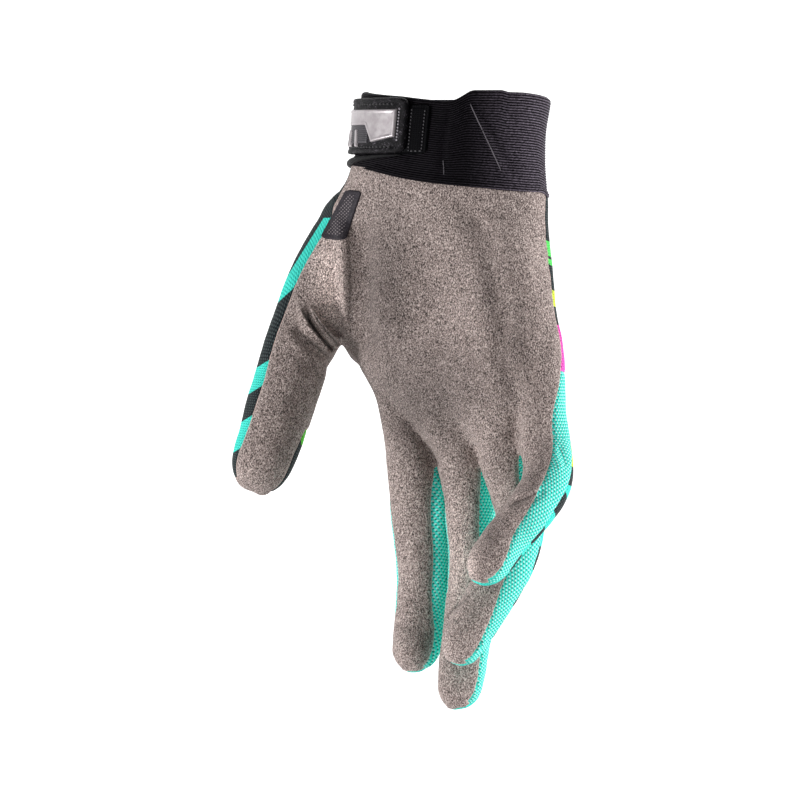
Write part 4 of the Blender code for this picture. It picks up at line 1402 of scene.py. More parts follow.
    def build_fingers(self, rings: dict, ends: dict, last: Array) -> None:
        """Grows the four finger tubes from the palm's last row."""
        n, start = self.per_finger, self.per_finger + self.side
        ulnar = 4 * n
        back = ulnar + self.side
        sides = [Panel.INDEX_SIDE_PANEL, Panel.WEB_GUSSET_INDEX_MIDDLE, Panel.WEB_GUSSET_MIDDLE_RING]
        sides += [Panel.WEB_GUSSET_RING_LITTLE, Panel.LITTLE_SIDE_PANEL]
        left = last[back + ulnar + 1 :]
        for f, digit in enumerate(FINGERS):
            front = last[n * f : n * f + n + 1]
            back_first = back + n * (3 - f)
            back_run = last[back_first : back_first + n + 1]
            if digit is Digit.LITTLE:
                right = last[ulnar + 1 : back]
            else:
                right = self.add_points(rings[digit][0][n + 1 : start])
            ring = np.concatenate([front, right, back_run, left])
            left = right[::-1]
            index = close_round(np.vstack([ring, self.add_points(rings[digit][1:])]))
            counts = (n, self.side, n, self.side)
            across = np.repeat([Panel.PALM_PANEL, sides[f + 1], Panel.BACK_PANEL, sides[f]], counts)
            cloth = self.cloth_of(self.places(index), self.finger_cloth_start)
            panel = np.broadcast_to(across, (len(index) - 1, len(across)))
            self.add_patch(index, panel, digit, cloth)
            halves = (Panel.PALM_PANEL, Panel.BACK_PANEL)
            self.cap(index[-1, :-1], n, ends[digit], halves, digit, cloth[-1, 0, 1])

    def build_thumb(self, number: Array) -> None:
        """Grows the thumb from the hole in the palm's side: Bezier curves lead to the thumb's own rings."""
        top, crotch = self.thumb_top_row, self.thumb_crotch_row
        columns = number.shape[1]
        radial = 8 * self.per_finger + self.side
        steps = crotch - top
        below = np.arange(columns, radial, -1) % columns
        hole = [number[top:crotch, 0], number[crotch, below], number[crotch:top:-1, radial]]
        hole = np.concatenate(hole + [number[top, radial:]])
        rings, end = self.digit_rings(THUMB[3:], self.thumb_rings, steps, THUMB_BACK_SEAM)
        arriving = unit(np.gradient(np.array(THUMB, float)[:, :3], axis=0))[3]
        start = self.places(hole)
        reach = np.linalg.norm(rings[0] - start, axis=1, keepdims=True) * self.root_pull
        leave = start + np.array(self.thumb_leaves) * reach
        arrive = rings[0] - arriving * reach
        u = np.linspace(0, 1, self.thumb_root_rings + 1)[1:, None, None]
        near = (1 - u) ** 3 * start + 3 * u * (1 - u) ** 2 * leave
        root = near + 3 * u * u * (1 - u) * arrive + u**3 * rings[0]
        index = close_round(np.vstack([hole, self.add_points(np.concatenate([root, rings[1:]]))]))
        column = np.arange(index.shape[1] - 1)[None, :]
        ring = np.arange(len(index) - 1)[:, None]
        wide, rings_deep = self.crotch_suede
        suede = (column < steps) | ((column < steps + wide) & (ring < rings_deep))
        cloth = self.cloth_of(self.places(index), 0.0)
        panel = np.where(suede, Panel.PALM_PANEL, Panel.THUMB_BACK_PANEL)
        self.add_patch(index, panel, Digit.THUMB, cloth)
        halves = (Panel.PALM_PANEL, Panel.THUMB_BACK_PANEL)
        self.cap(index[-1, :-1], steps, end, halves, Digit.THUMB, cloth[-1, 0, 1])

    def even_out(self, points: Array, quads: Array) -> Array:
        """Moves the points near each soft spot towards the mean of their neighbours, a few rounds over."""
        ends = np.concatenate([quads[:, [i, (i + 1) % 4]] for i in range(4)])
        ends = np.concatenate([ends, ends[:, ::-1]])
        weight = np.zeros(len(points))
        for x, y, z, reach in SOFT_SPOTS:
            away = np.linalg.norm(points - np.array((x, y, z)), axis=1) / reach
            weight = np.maximum(weight, 0.5 * np.exp(-(away**4)))
        count = np.bincount(ends[:, 0], minlength=len(points))[:, None]
        for _ in range(self.soft_rounds):
            total = np.zeros_like(points)
            np.add.at(total, ends[:, 0], points[ends[:, 1]])
            points = points + (total / np.maximum(count, 1) - points) * weight[:, None]
        return points

    def build(self) -> FineCloth:
        """Builds the whole cage, without the points that no quad uses."""
        rings, ends = self.finger_bases()
        number = self.build_palm(rings)
        self.build_fingers(rings, ends, number[-1])
        self.build_thumb(number)
        quads = np.concatenate(self.quads)
        used, quads = np.unique(quads, return_inverse=True)
        quads = quads.reshape(-1, 4)
        points = self.even_out(np.concatenate(self.parts)[used], quads)
        parts = (np.concatenate(each) for each in (self.panels, self.digits, self.cloths))
        return FineCloth(points, quads, *parts)


def subdivided(cage: FineCloth, levels: int) -> FineCloth:
    """The Catmull-Clark surface of a cage, with its panels, digits and cloth coordinates carried along."""
    mesh = bpy.data.meshes.new("cage")
    mesh.from_pydata(cage.points.tolist(), [], cage.quads.tolist())
    for name, values in (("panel", cage.panel), ("digit", cage.digit)):
        mesh.attributes.new(name, "INT", "FACE").data.foreach_set("value", values.astype(np.int32))
    mesh.uv_layers.new(name="cloth").uv.foreach_set("vector", cage.cloth.reshape(-1).astype(np.float32))
    obj = add_object("cage", mesh)
    modifier = obj.modifiers.new("subdivision", "SUBSURF")
    modifier.levels = levels
    modifier.render_levels = levels
    modifier.uv_smooth = "NONE"
    bpy.context.view_layer.update()
    fine = obj.evaluated_get(bpy.context.evaluated_depsgraph_get()).to_mesh()
    points = np.zeros(len(fine.vertices) * 3)
    quads = np.zeros(len(fine.loops), int)
    cloth = np.zeros(len(fine.loops) * 2, np.float32)
    faces = [np.zeros(len(fine.polygons), np.int32) for _ in range(2)]
    fine.vertices.foreach_get("co", points)
    fine.loops.foreach_get("vertex_index", quads)
    fine.uv_layers["cloth"].uv.foreach_get("vector", cloth)
    for name, values in zip(("panel", "digit"), faces):
        fine.attributes[name].data.foreach_get("value", values)
    bpy.data.objects.remove(obj)
    bpy.data.meshes.remove(mesh)
    cloth = cloth.reshape(-1, 4, 2).astype(float)
    return FineCloth(points.reshape(-1, 3), quads.reshape(-1, 4), *faces, cloth)


@dataclass
class Hand:
    """The hand of the glove: eight sewn panels cut from one fine surface."""

    levels: int = 3
    wall: float = 1.2
    suede_lift: float = 0.30
    hem_drop: float = 0.34
    hem_reach: float = 0.9
    seam_dip: float = 0.30
    seam_reach: float = 0.8
    pucker_reach: float = 2.4
    puff_fade: float = 3.5
    hidden_rim: float = 1.0
    rise_fade: float = 12.0
    side_start: float = 29.0
    side_fade: float = 12.0
    fine: FineCloth | None = None
    normals: Array | None = None
    digit: Array | None = None

    def shape(self) -> None:
        """Makes the fine surface: the cage's points lie on it, and folds and unevenness move it outwards."""
        cage = HandCage().build()
        first = subdivided(cage, self.levels)
        held = cage._replace(points=2 * cage.points - first.points[: len(cage.points)])
        fine = subdivided(held, self.levels)
        normals = vertex_normals(fine.points, fine.quads)
        self.digit = np.zeros(len(fine.points), int)
        self.digit[fine.quads.reshape(-1)] = np.repeat(fine.digit, 4)
        lift = fold_lift(HAND_FOLDS, fine.points, normals, self.digit)
        for ripple in HAND_RIPPLES:
            lift += ripples(fine.points, ripple)
        points = fine.points + normals * lift[:, None]
        across = points @ VIEW_RIGHT
        below = seam_z(points[:, 0]) - points[:, 2]
        points[:, 2] += seam_rise(across) * smoothstep(1 - below / self.rise_fade)
        points[:, 2] += CROTCH_NOTCH * bell_at(across, points[:, 2], CROTCH_PLACE, CROTCH_REACH)
        push = SIDE_PUSH * bell(points[:, 2] - SIDE_PLACE[0], SIDE_PLACE[1])
        points -= VIEW_RIGHT * (push * smoothstep((-across - self.side_start) / self.side_fade))[:, None]
        self.fine = fine._replace(points=points)
        self.normals = vertex_normals(points, fine.quads)

    def panel_piece(self, panel: Panel, material: bpy.types.Material) -> None:
        """Cuts one panel from the fine surface and gives it its wall.

        The outer side stands over the surface by the suede's lift, less a bell near the rim for its turned
        edge; mesh panels dip at their seams. Short waves run along the seams.

        Args:
            panel: which panel.
            material: its finish.
        """
        mine = self.fine.panel == panel
        used, quads = np.unique(self.fine.quads[mine], return_inverse=True)
        quads = quads.reshape(-1, 4)
        points, normals = self.fine.points[used], self.normals[used]
        rim_points = points[np.unique(rim_edges(quads))]
        rim = nearest_distance(points, rim_points)
        if panel is Panel.PALM_PANEL:
            lift = self.suede_lift - self.hem_drop * bell(rim, self.hem_reach)
        else:
            lift = -self.seam_dip * bell(rim, self.seam_reach)
        lift += ripples(points, SEAM_PUCKER) * bell(rim, self.pucker_reach)
        for puff in PUFFS:
            share = bell(points[:, 2] - puff.z, puff.reach) * smoothstep(rim / self.puff_fade)
            lift += puff.height * share * ((panel is puff.panel) & (self.digit[used] == puff.digit))
        both = np.concatenate([points + normals * lift[:, None], points - normals * self.wall])
        cuff_side = seam_z(rim_points[:, 0]) - self.hidden_rim
        shown = nearest_distance(points, rim_points[rim_points[:, 2] < cuff_side])
        numbers = {"rim": np.concatenate([shown, shown])}
        if panel is Panel.PALM_PANEL:
            # Painted light and shade of the suede, carried by its vertices.
            numbers["nap"] = painted_light_tone(both)
        if panel is Panel.BACK_PANEL:
            tips = np.array([stations[-1][:3] for stations in FINGERS.values()])
            numbers["tip"] = nearest_distance(both, tips)
        name = panel.name.lower()
        faces = closed_wall(quads, len(used))
        cloth = wall_cloth(quads, self.fine.cloth[mine], len(used))
        make_piece(f"{name}_cloth", both, faces, material, (name,), cloth, numbers)

    def build(self) -> None:
        """Builds and dresses the eight panels."""
        self.shape()
        self.panel_piece(Panel.PALM_PANEL, SuedeFinish().paint())
        back = PrintFinish("back_print", BACK_BANDS, fingers=True).paint()
        self.panel_piece(Panel.BACK_PANEL, back)
        thumb = PrintFinish("thumb_print", THUMB_BANDS).paint()
        self.panel_piece(Panel.THUMB_BACK_PANEL, thumb)
        mesh = MeshFinish().paint()
        for panel in Panel:
            if panel > Panel.THUMB_BACK_PANEL:
                self.panel_piece(panel, mesh)


@dataclass
class Cuff:
    """The ribbed knit cuff: a tube whose outer side carries the ribs, rounded over at its free edge."""

    wall: float = 2.0
    ribs: int = 38
    rows_per_rib: int = 5
    columns: int = 216
    rib_height: float = 0.30
    edge_round: float = 0.8
    edge_window: int = 3
    inner_rows: int = 10
    overlap: float = 0.9
    corner_drop: float = 2.0
    corner_from: tuple[float, float] = (84.0, 18.0)
    corner_to: tuple[float, float] = (140.0, 20.0)
    overlap_lift: float = 0.75
    overlap_reach: tuple[float, float] = (3.4, 2.4)
    rib_power: float = 0.7
    seam_steps: int = 90
    seam_lift: float = 0.25

    def edge_z(self, angle: Array) -> Array:
        """Height of the free edge round the cuff, its table's corners softened by a short running mean."""
        table = CUFF_EDGE
        heights = np.interp(np.mod(angle, 360), [p.angle for p in table], [p.z for p in table], period=360)
        window = self.edge_window
        padded = np.concatenate([heights[-window:], heights, heights[:window]])
        return np.convolve(padded, np.ones(window) / window, "same")[window:-window]

    def build(self) -> None:
        """Builds the cuff: ribs are a rounded wave in the share of the way from edge to seam."""
        angle = np.linspace(0, 360, self.columns, endpoint=False)
        rows = self.ribs * self.rows_per_rib + 1
        share = np.linspace(0, 1, rows)[:, None]
        foot = tube_point(np.full(self.columns, CUFF_SEAM_Z), angle)
        top, bottom = self.edge_z(angle), seam_z(foot[:, 0]) - self.overlap
        bottom = bottom + seam_rise(foot @ VIEW_RIGHT)
        (first, rise), (last, fall) = self.corner_from, self.corner_to
        drop = smoothstep((angle - first) / rise) * smoothstep((last - angle) / fall)
        bottom = bottom - self.corner_drop * drop
        z = (1 - share) * top + share * bottom
        base = tube_point(z, np.broadcast_to(angle, z.shape)).reshape(-1, 3)
        normals = vertex_normals(base, grid_quads(close_round(np.arange(z.size).reshape(z.shape))))
        wave = np.broadcast_to(np.abs(np.sin(math.pi * share * self.ribs)), z.shape)
        down = (top - bottom) * share
        up = (top - bottom) * (1 - share)
        rounding = self.edge_round * (bell(down, 0.5) + 0.9 * bell(up, 0.35))
        high, reach = self.overlap_reach
        over = self.overlap_lift * smoothstep((high - up) / reach)
        lift = (self.rib_height * (wave**self.rib_power - 0.5) - rounding + over).reshape(-1)
        lift = lift + fold_lift(CUFF_FOLDS, base, normals) + ripples(base, CUFF_RIPPLE)
        inner_share = np.linspace(1, 0, self.inner_rows)[:, None]
        inner_z = (1 - inner_share) * top + inner_share * bottom
        inner = tube_point(inner_z, np.broadcast_to(angle, inner_z.shape), -self.wall).reshape(-1, 3)
        points = np.concatenate([base + normals * lift[:, None], inner])
        index = close_round(np.arange(len(points)).reshape(-1, self.columns))
        quads = grid_quads(np.vstack([index, index[:1]])).tolist()
        numbers = {"rib": np.concatenate([wave.reshape(-1), np.zeros(len(inner))])}
        knit = KnitFinish().paint()
        make_piece("cuff_knit_band", points, quads, knit, ("cuff_band",), numbers=numbers)
        for number, seam in enumerate(CUFF_SEAMS):
            self.build_seam(f"cuff_seam_{number + 1}", seam)

    def build_seam(self, name: str, seam: Seam) -> None:
        """Builds a thin raised seam along its line, laid on the cuff as the photograph sees it."""
        line = np.array(seam.line)
        share = np.linspace(0, 1, self.seam_steps)
        across, z = read_table(np.linspace(0, 1, len(line)), line, share).T
        tries = np.linspace(-60, 95, 1200)
        seen = tube_point(z[:, None], tries[None, :], 0.4) @ VIEW_RIGHT
        angle = tries[np.abs(seen - across[:, None]).argmin(axis=1)]
        angle = np.convolve(np.pad(angle, 4, mode="edge"), np.ones(9) / 9, "valid")
        points, faces, _ = carried_circle(z, angle, self.seam_lift, seam.radius * tapered(share, 10), 8)
        make_piece(name, points, faces, ThreadFinish(name, seam.colour).paint())


def make_slab(
    name: str,
    outer: Array,
    inner: Array,
    material: bpy.types.Material,
    replaces: tuple[str, ...] = (),
    places: tuple[Array, Array] | None = None,
    numbers: dict[str, Array] | None = None,
) -> None:
    """Makes a piece that is a closed slab between two grids of points.

    Args:
        name: the piece's name.
        outer: grid of the outer side, rows down and columns right as seen from outside.
        inner: grid of the inner side.
        material: its finish.
        replaces: the nodes it stands for.
        places: the two cloth coordinates of the grid's points.
        numbers: numbers that the vertices carry, by name.
    """
    count = outer.size // 3
    quads = grid_quads(np.arange(count).reshape(outer.shape[:2]))
    cloth = None
    if places is not None:
        cloth = wall_cloth(quads, np.stack([p.reshape(-1) for p in places], axis=1)[quads], count)
    points = np.concatenate([outer.reshape(-1, 3), inner.reshape(-1, 3)])
    make_piece(name, points, closed_wall(quads, count), material, replaces, cloth, numbers)


@dataclass
class Stitching:
    """Rows of stitches: small bent capsules joined in one mesh."""

    radius: float = 0.27
    around: int = 6
    along: int = 6
    arch: float = 0.2

    def mesh(self, start: Array, end: Array, out: Array) -> tuple[Array, list]:
        """Carries a capsule's profile along each stitch: a circle that narrows to the ends, arched outwards.

        Args:
            start: where each stitch goes in.
            end: where it comes out.
            out: unit vectors away from the cloth.

        Returns:
            The points and the faces.
        """
        way = end - start
        side = unit(np.cross(way, out))
        t = np.linspace(0, 1, self.along)
        fat = tapered(t, 4, 0.03)
        turn = np.linspace(0, 2 * math.pi, self.around, endpoint=False)
        rise = self.arch * 4 * t * (1 - t)
        middle = start[:, None] + way[:, None] * t[:, None] + out[:, None] * rise[:, None]
        ring = np.cos(turn)[None, None, :, None] * side[:, None, None]
        ring = ring + np.sin(turn)[None, None, :, None] * out[:, None, None]
        points = middle[:, :, None] + ring * (self.radius * fat)[None, :, None, None]
        one = close_round(np.arange(self.along * self.around).reshape(self.along, self.around))
        quads = grid_quads(one)[:, ::-1]
        shift = np.arange(len(start))[:, None] * self.along * self.around
        faces = (quads[None] + shift[..., None]).reshape(-1, 4).tolist()
        first = np.arange(self.around)[None] + shift
        last = first[:, ::-1] + (self.along - 1) * self.around
        faces += first.tolist() + last.tolist()
        return points.reshape(-1, 3), faces


def spaced_pairs(line: Array, pitch: float, length: float) -> tuple[Array, Array]:
    """Starts and ends of stitches along a flat line of straight runs, at even pitch."""
    run = np.linalg.norm(np.diff(line, axis=0), axis=1)
    gone = np.concatenate([[0], np.cumsum(run)])
    at = np.arange(pitch / 2, gone[-1] - pitch / 2, pitch)
    start, end = (
        np.stack([np.interp(at + shift, gone, line[:, i]) for i in range(2)], axis=1)
        for shift in (-length / 2, length / 2)
    )
    return start, end


@dataclass
class WristStrap:
    """The wrist strap: stitched cloth with a raised border, the hook patch under its end, and their stitches.

    Along is measured round the cuff from the strap's free end, and down from its upper edge.
    """

    seat: float = 0.3
    patch_wall: float = 0.7
    wall: float = 1.8
    radius: float = 31.0
    end_angle: float = -9.0
    root_angle: float = -196.0
    top: float = -2.4
    height: float = 20.6
    corner: float = 3.2
    border: float = 0.9
    stitch_inset: float = 2.4
    groove: tuple[float, float] = (0.45, 0.5)
    middle_drop: tuple[float, float] = (0.30, 0.8)
    steps_along: int = 250
    steps_down: int = 64
    patch_angles: tuple[float, float] = (-44.0, 2.0)
    patch_z: tuple[float, float] = (-23.4, -5.0)
    patch_corner: float = 2.2
    patch_edge: float = 0.7
    patch_groove: tuple[float, float, float] = (0.2, 1.0, 0.35)
    roll_angles: tuple[float, float] = (-12.0, -150.0)
    roll_z: tuple[float, float] = (-23.6, -27.4)
    roll_radius: float = 1.2
    roll_steps: int = 150
    roll_around: int = 20

    @property
    def length(self) -> float:
        """Length round the cuff."""
        return math.radians(self.end_angle - self.root_angle) * self.radius

    @property
    def seat_lift(self) -> float:
        """Height of the strap's underside over the cuff."""
        return self.seat + self.patch_wall + self.seat

    def place(self, along: Array, down: Array, lift: Array | float) -> Array:
        """Points over the cuff at places of the strap."""
        angle = self.end_angle - np.degrees(along / self.radius)
        return tube_point(self.top - down, angle, lift)

    def from_edge(self, along: Array, down: Array) -> Array:
        """Distance inside the outline: a rectangle whose corners at the free end are rounded."""
        from_end = along
        from_side = np.minimum(down, self.height - down)
        in_corner = (from_end < self.corner) & (from_side < self.corner)
        corner = self.corner - np.hypot(self.corner - from_end, self.corner - from_side)
        return np.where(in_corner, corner, np.minimum(from_end, from_side))

    def profile(self, inside: Array) -> Array:
        """Height of the strap's face over its underside: a rounded border, a sewn groove, a lower middle."""
        inner = inside - self.stitch_inset
        groove = self.groove[0] * bell(inner, self.groove[1])
        middle = self.middle_drop[0] * smoothstep(inner / self.middle_drop[1])
        return self.wall * (0.35 + 0.65 * rounded(inside, self.border)) - groove - middle

    def build_strap(self) -> None:
        """Builds the strap cloth as a slab whose ends follow the rounded corners."""
        corner = self.corner * (1 - np.cos(np.linspace(0, math.pi / 2, 10)))
        along = np.concatenate([corner, np.linspace(self.corner, self.length, self.steps_along)[1:]])[:, None]
        inset = corner_inset(along, self.corner)
        share = (1 - np.cos(np.linspace(0, math.pi, self.steps_down))) / 2
        share = 0.5 * share + 0.5 * np.linspace(0, 1, self.steps_down)
        down = inset + (self.height - 2 * inset) * share[None, :]
        along = np.broadcast_to(along, down.shape)
        lift = self.profile(self.from_edge(along, down))
        flat = np.stack([along, down, 0 * down], axis=-1).reshape(-1, 3)
        wrinkle = ripples(flat, STRAP_RIPPLE).reshape(down.shape) * smoothstep(lift)
        outer = self.place(along, down, self.seat_lift + lift + wrinkle)
        inner = self.place(along, down, self.seat_lift)
        weave = StrapFinish().paint()
        make_slab("strap_cloth", outer, inner, weave, ("closure_strap",), (along, down))

    def build_patch(self) -> None:
        """Builds the hook patch: a slab with rounded corners and a rounded edge."""
        first, last = self.patch_angles
        length = math.radians(last - first) * self.radius
        height = self.patch_z[1] - self.patch_z[0]
        corner = self.patch_corner
        ends = corner * (1 - np.cos(np.linspace(0, math.pi / 2, 8)))
        along = np.concatenate([ends, np.linspace(corner, length - corner, 60)[1:-1], length - ends[::-1]])
        inset = corner_inset(np.minimum(along, length - along), corner)[:, None]
        down = inset + (height - 2 * inset) * np.linspace(0, 1, 44)[None, :]
        along = np.broadcast_to(along[:, None], down.shape)
        edge = np.minimum(np.minimum(along, length - along), np.minimum(down, height - down))
        depth, inside, reach = self.patch_groove
        lift = self.patch_wall * (0.4 + 0.6 * rounded(edge, self.patch_edge))
        lift = lift - depth * bell(edge - inside, reach)
        angle = last - np.degrees(along / self.radius)
        outer = tube_point(self.patch_z[1] - down, angle, self.seat + lift)
        inner = tube_point(self.patch_z[1] - down, angle, self.seat)
        hooks = HookFinish().paint()
        make_slab("hook_tape_patch", outer, inner, hooks, ("hook_patch",), (along, down))

    def build_stitches(self) -> None:
        """Sews the strap: thread painted pale down its end for its glints, and dark thread along its edges.
        """
        d = self.stitch_inset
        sewing = Stitching(radius=0.36)
        top_row = np.array([(self.length - 4.0, d), (self.corner + 1.0, d)])
        low_row = np.array([(self.corner + 1.0, self.height - d), (self.length - 4.0, self.height - d)])
        end_row = np.array([(d, self.corner + 0.4), (d, self.height - self.corner - 0.4)])
        lift = self.seat_lift + self.wall - 0.45
        rows = (("strap_edge_stitches", (top_row, low_row), srgb(20, 17, 22), 1.6, 1.1),)
        # The end stitches' pale colour is a painted glint on dark thread.
        rows += (("strap_end_stitches", (end_row,), srgb(186, 180, 188), 1.15, 0.8),)
        for name, lines, colour, pitch, length in rows:
            pairs = [spaced_pairs(line, pitch, length) for line in lines]
            ends = [np.concatenate([pair[side] for pair in pairs]) for side in (0, 1)]
            start, end = (self.place(each[:, 0], each[:, 1], lift) for each in ends)
            out = unit(self.place(ends[0][:, 0], ends[0][:, 1], lift + 1) - start)
            points, faces = sewing.mesh(start, end, out)
            make_piece(name, points, faces, ThreadFinish(name, colour).paint())

    def build_patch_stitches(self) -> None:
        """Sews the hook patch down with two columns and a lower row of dark thread."""
        right, left = self.patch_angles[1] - 2.2, self.end_angle + 1.6
        high, low = self.patch_z[1] - 1.4, self.patch_z[0] + 1.2
        line = np.array([(left, high), (left, low), (right, low), (right, high)])
        scale = np.array([math.radians(self.radius), 1.0])
        pairs = spaced_pairs(line * scale, 1.25, 0.75)
        lift = self.seat + self.patch_wall
        start, end = (tube_point(each[:, 1], each[:, 0] / scale[0], lift) for each in pairs)
        out = unit(tube_point(pairs[0][:, 1], pairs[0][:, 0] / scale[0], lift + 1) - start)
        points, faces = Stitching().mesh(start, end, out)
        thread = ThreadFinish("patch_thread", srgb(72, 68, 74)).paint()
        make_piece("hook_patch_stitches", points, faces, thread)

    def build_roll(self) -> None:
        """Builds the strap's rolled lower hem: a circle carried round the thumb side below the tab."""
        angle = np.linspace(*self.roll_angles, self.roll_steps)
        share = np.linspace(0, 1, self.roll_steps)
        z = self.roll_z[0] + (self.roll_z[1] - self.roll_z[0]) * smoothstep(share * 1.5)
        fat = self.roll_radius * tapered(share, 8) * (0.62 + 0.38 * smoothstep(share * 3))
        lift = self.seat + self.roll_radius * 0.9
        points, faces, out = carried_circle(z, angle, lift, fat, self.roll_around)
        points = points + ripples(points, HEM_RIPPLE)[:, None] * np.repeat(out, self.roll_around, axis=0)
        finish = StrapFinish("hem_weave", light=srgb(46, 42, 48)).paint()
        make_piece("strap_rolled_hem", points, faces, finish)

    def build(self) -> None:
        """Builds the strap, its patch, its hem and the stitches."""
        self.build_strap()
        self.build_patch()
        self.build_stitches()
        self.build_patch_stitches()
        self.build_roll()


@dataclass
class Badge:
    """The moulded badge on the strap: a silver band with a block, and silver bars on a black inset."""

    strap: WristStrap
    end_angle: float = -14.8
    length: float = 45.5
    band: float = 5.8
    block_length: float = 9.3
    block_depth: float = 12.2
    block_rise: float = 1.9
    slant: float = 3.1
    top: float = -6.6
    wall: float = 0.9
    bevel: float = 0.55
    bars: int = 4
    bar_start: float = 8.6
    bar_step: float = 6.0
    bar_width: float = 1.9
    bar_top: float = 7.2
    bar_bottom: float = 13.8
    bar_lean: float = 1.3
    bar_bevel: float = 0.7

    def place(self, along: Array, down: Array, lift: Array | float) -> Array:
        """Points over the strap at places of the badge."""
        base = self.strap.seat_lift + self.strap.wall - 0.3
        angle = self.end_angle - np.degrees(along / self.strap.radius)
        return tube_point(self.top - down, angle, base + lift)

    def outline(self) -> Array:
        """Corners of the silver plate, from its upper right corner round its block."""
        corners = [(0, 0), (0, self.block_depth - self.block_rise), (self.block_length, self.block_depth)]
        corners += [(self.block_length + self.slant + 0.8, self.band)]
        corners += [(self.length, self.band), (self.length, 0)]
        return np.array(corners, float)

    def plate_bottom(self, along: Array) -> Array:
        """Lower edge of the plate: a slanted block, a steep flank and the band."""
        knots = [0, self.block_length, self.block_length + self.slant + 0.8, self.length]
        edges = [self.block_depth - self.block_rise, self.block_depth, self.band, self.band]
        return np.interp(along, knots, edges)

    def build_plate(self, material: bpy.types.Material) -> None:
        """Builds the silver plate: a bevelled slab with a shallow line inside the block's edge."""
        ends = np.linspace(0, 1.2, 9)
        flank = np.linspace(self.block_length - 0.6, self.block_length + self.slant + 1.6, 26)
        rest = np.linspace(flank[-1], self.length, 70)
        along = np.concatenate([ends, np.linspace(1.2, flank[0], 24)[1:-1], flank, rest[1:]])
        share = np.linspace(0, 1, 56)
        down = self.plate_bottom(along)[:, None] * share[None, :]
        along = np.broadcast_to(along[:, None], down.shape)
        flat = np.stack([along.reshape(-1), down.reshape(-1)], axis=1)
        corners = self.outline()
        inside, _ = line_distance(flat, np.vstack([corners, corners[:1]]))
        inside = inside.reshape(down.shape)
        dish = 0.16 * smoothstep((inside - 0.9) / 0.5)
        lift = self.wall * (0.25 + 0.75 * rounded(inside, self.bevel)) - dish
        outer, inner = self.place(along, down, lift), self.place(along, down, 0.0)
        make_slab("badge_plate", outer, inner, material, ("strap_badge",))

    def build_bars(self, material: bpy.types.Material) -> None:
        """Builds the leaning bars below the band, each a slab with a crowned face."""
        u = np.linspace(0, 1, 9)[:, None]
        v = np.linspace(0, 1, 22)[None, :]
        across = np.minimum(u, 1 - u) * self.bar_width
        down_in = np.minimum(v, 1 - v) * (self.bar_bottom - self.bar_top)
        inside = np.minimum(across, down_in)
        lift = self.wall * (0.2 + 0.8 * rounded(inside, self.bar_bevel))
        for bar in range(self.bars):
            start = self.block_length + self.bar_start + bar * self.bar_step
            down = self.bar_top + (self.bar_bottom - self.bar_top) * v + 0 * u
            along = start + self.bar_width * u + self.bar_lean * (0.5 - v)
            outer, inner = self.place(along, down, lift), self.place(along, down, 0.0)
            make_slab(f"badge_bar_{bar + 1}", outer, inner, material)

    def build_inset(self) -> None:
        """Builds the black inset under the bars: fine ribs run along it, and its edges are rounded."""
        first = self.block_length + self.slant
        along = np.linspace(first - 0.6, self.length, 120)[:, None]
        down = np.linspace(self.band - 0.3, self.block_depth + 0.3, 70)[None, :]
        along, down = np.broadcast_arrays(along, down)
        edge = np.minimum(np.minimum(along - along.min(), along.max() - along), down.max() - down)
        ribs = 0.12 * np.sin(2 * math.pi * down / 0.72) * smoothstep(edge)
        outer = self.place(along, down, 0.42 * rounded(edge, 0.6, 0.01) + ribs)
        finish = RubberFinish("black_rubber", srgb(34, 31, 37), srgb(52, 48, 55), 0.5).paint()
        make_slab("badge_inset", outer, self.place(along, down, -0.2), finish)

    def build(self) -> None:
        """Builds the plate, the inset and the bars."""
        silver = RubberFinish("silver_rubber", srgb(150, 143, 146), srgb(172, 166, 168), 0.34, 0.35).paint()
        self.build_plate(silver)
        self.build_inset()
        self.build_bars(silver)


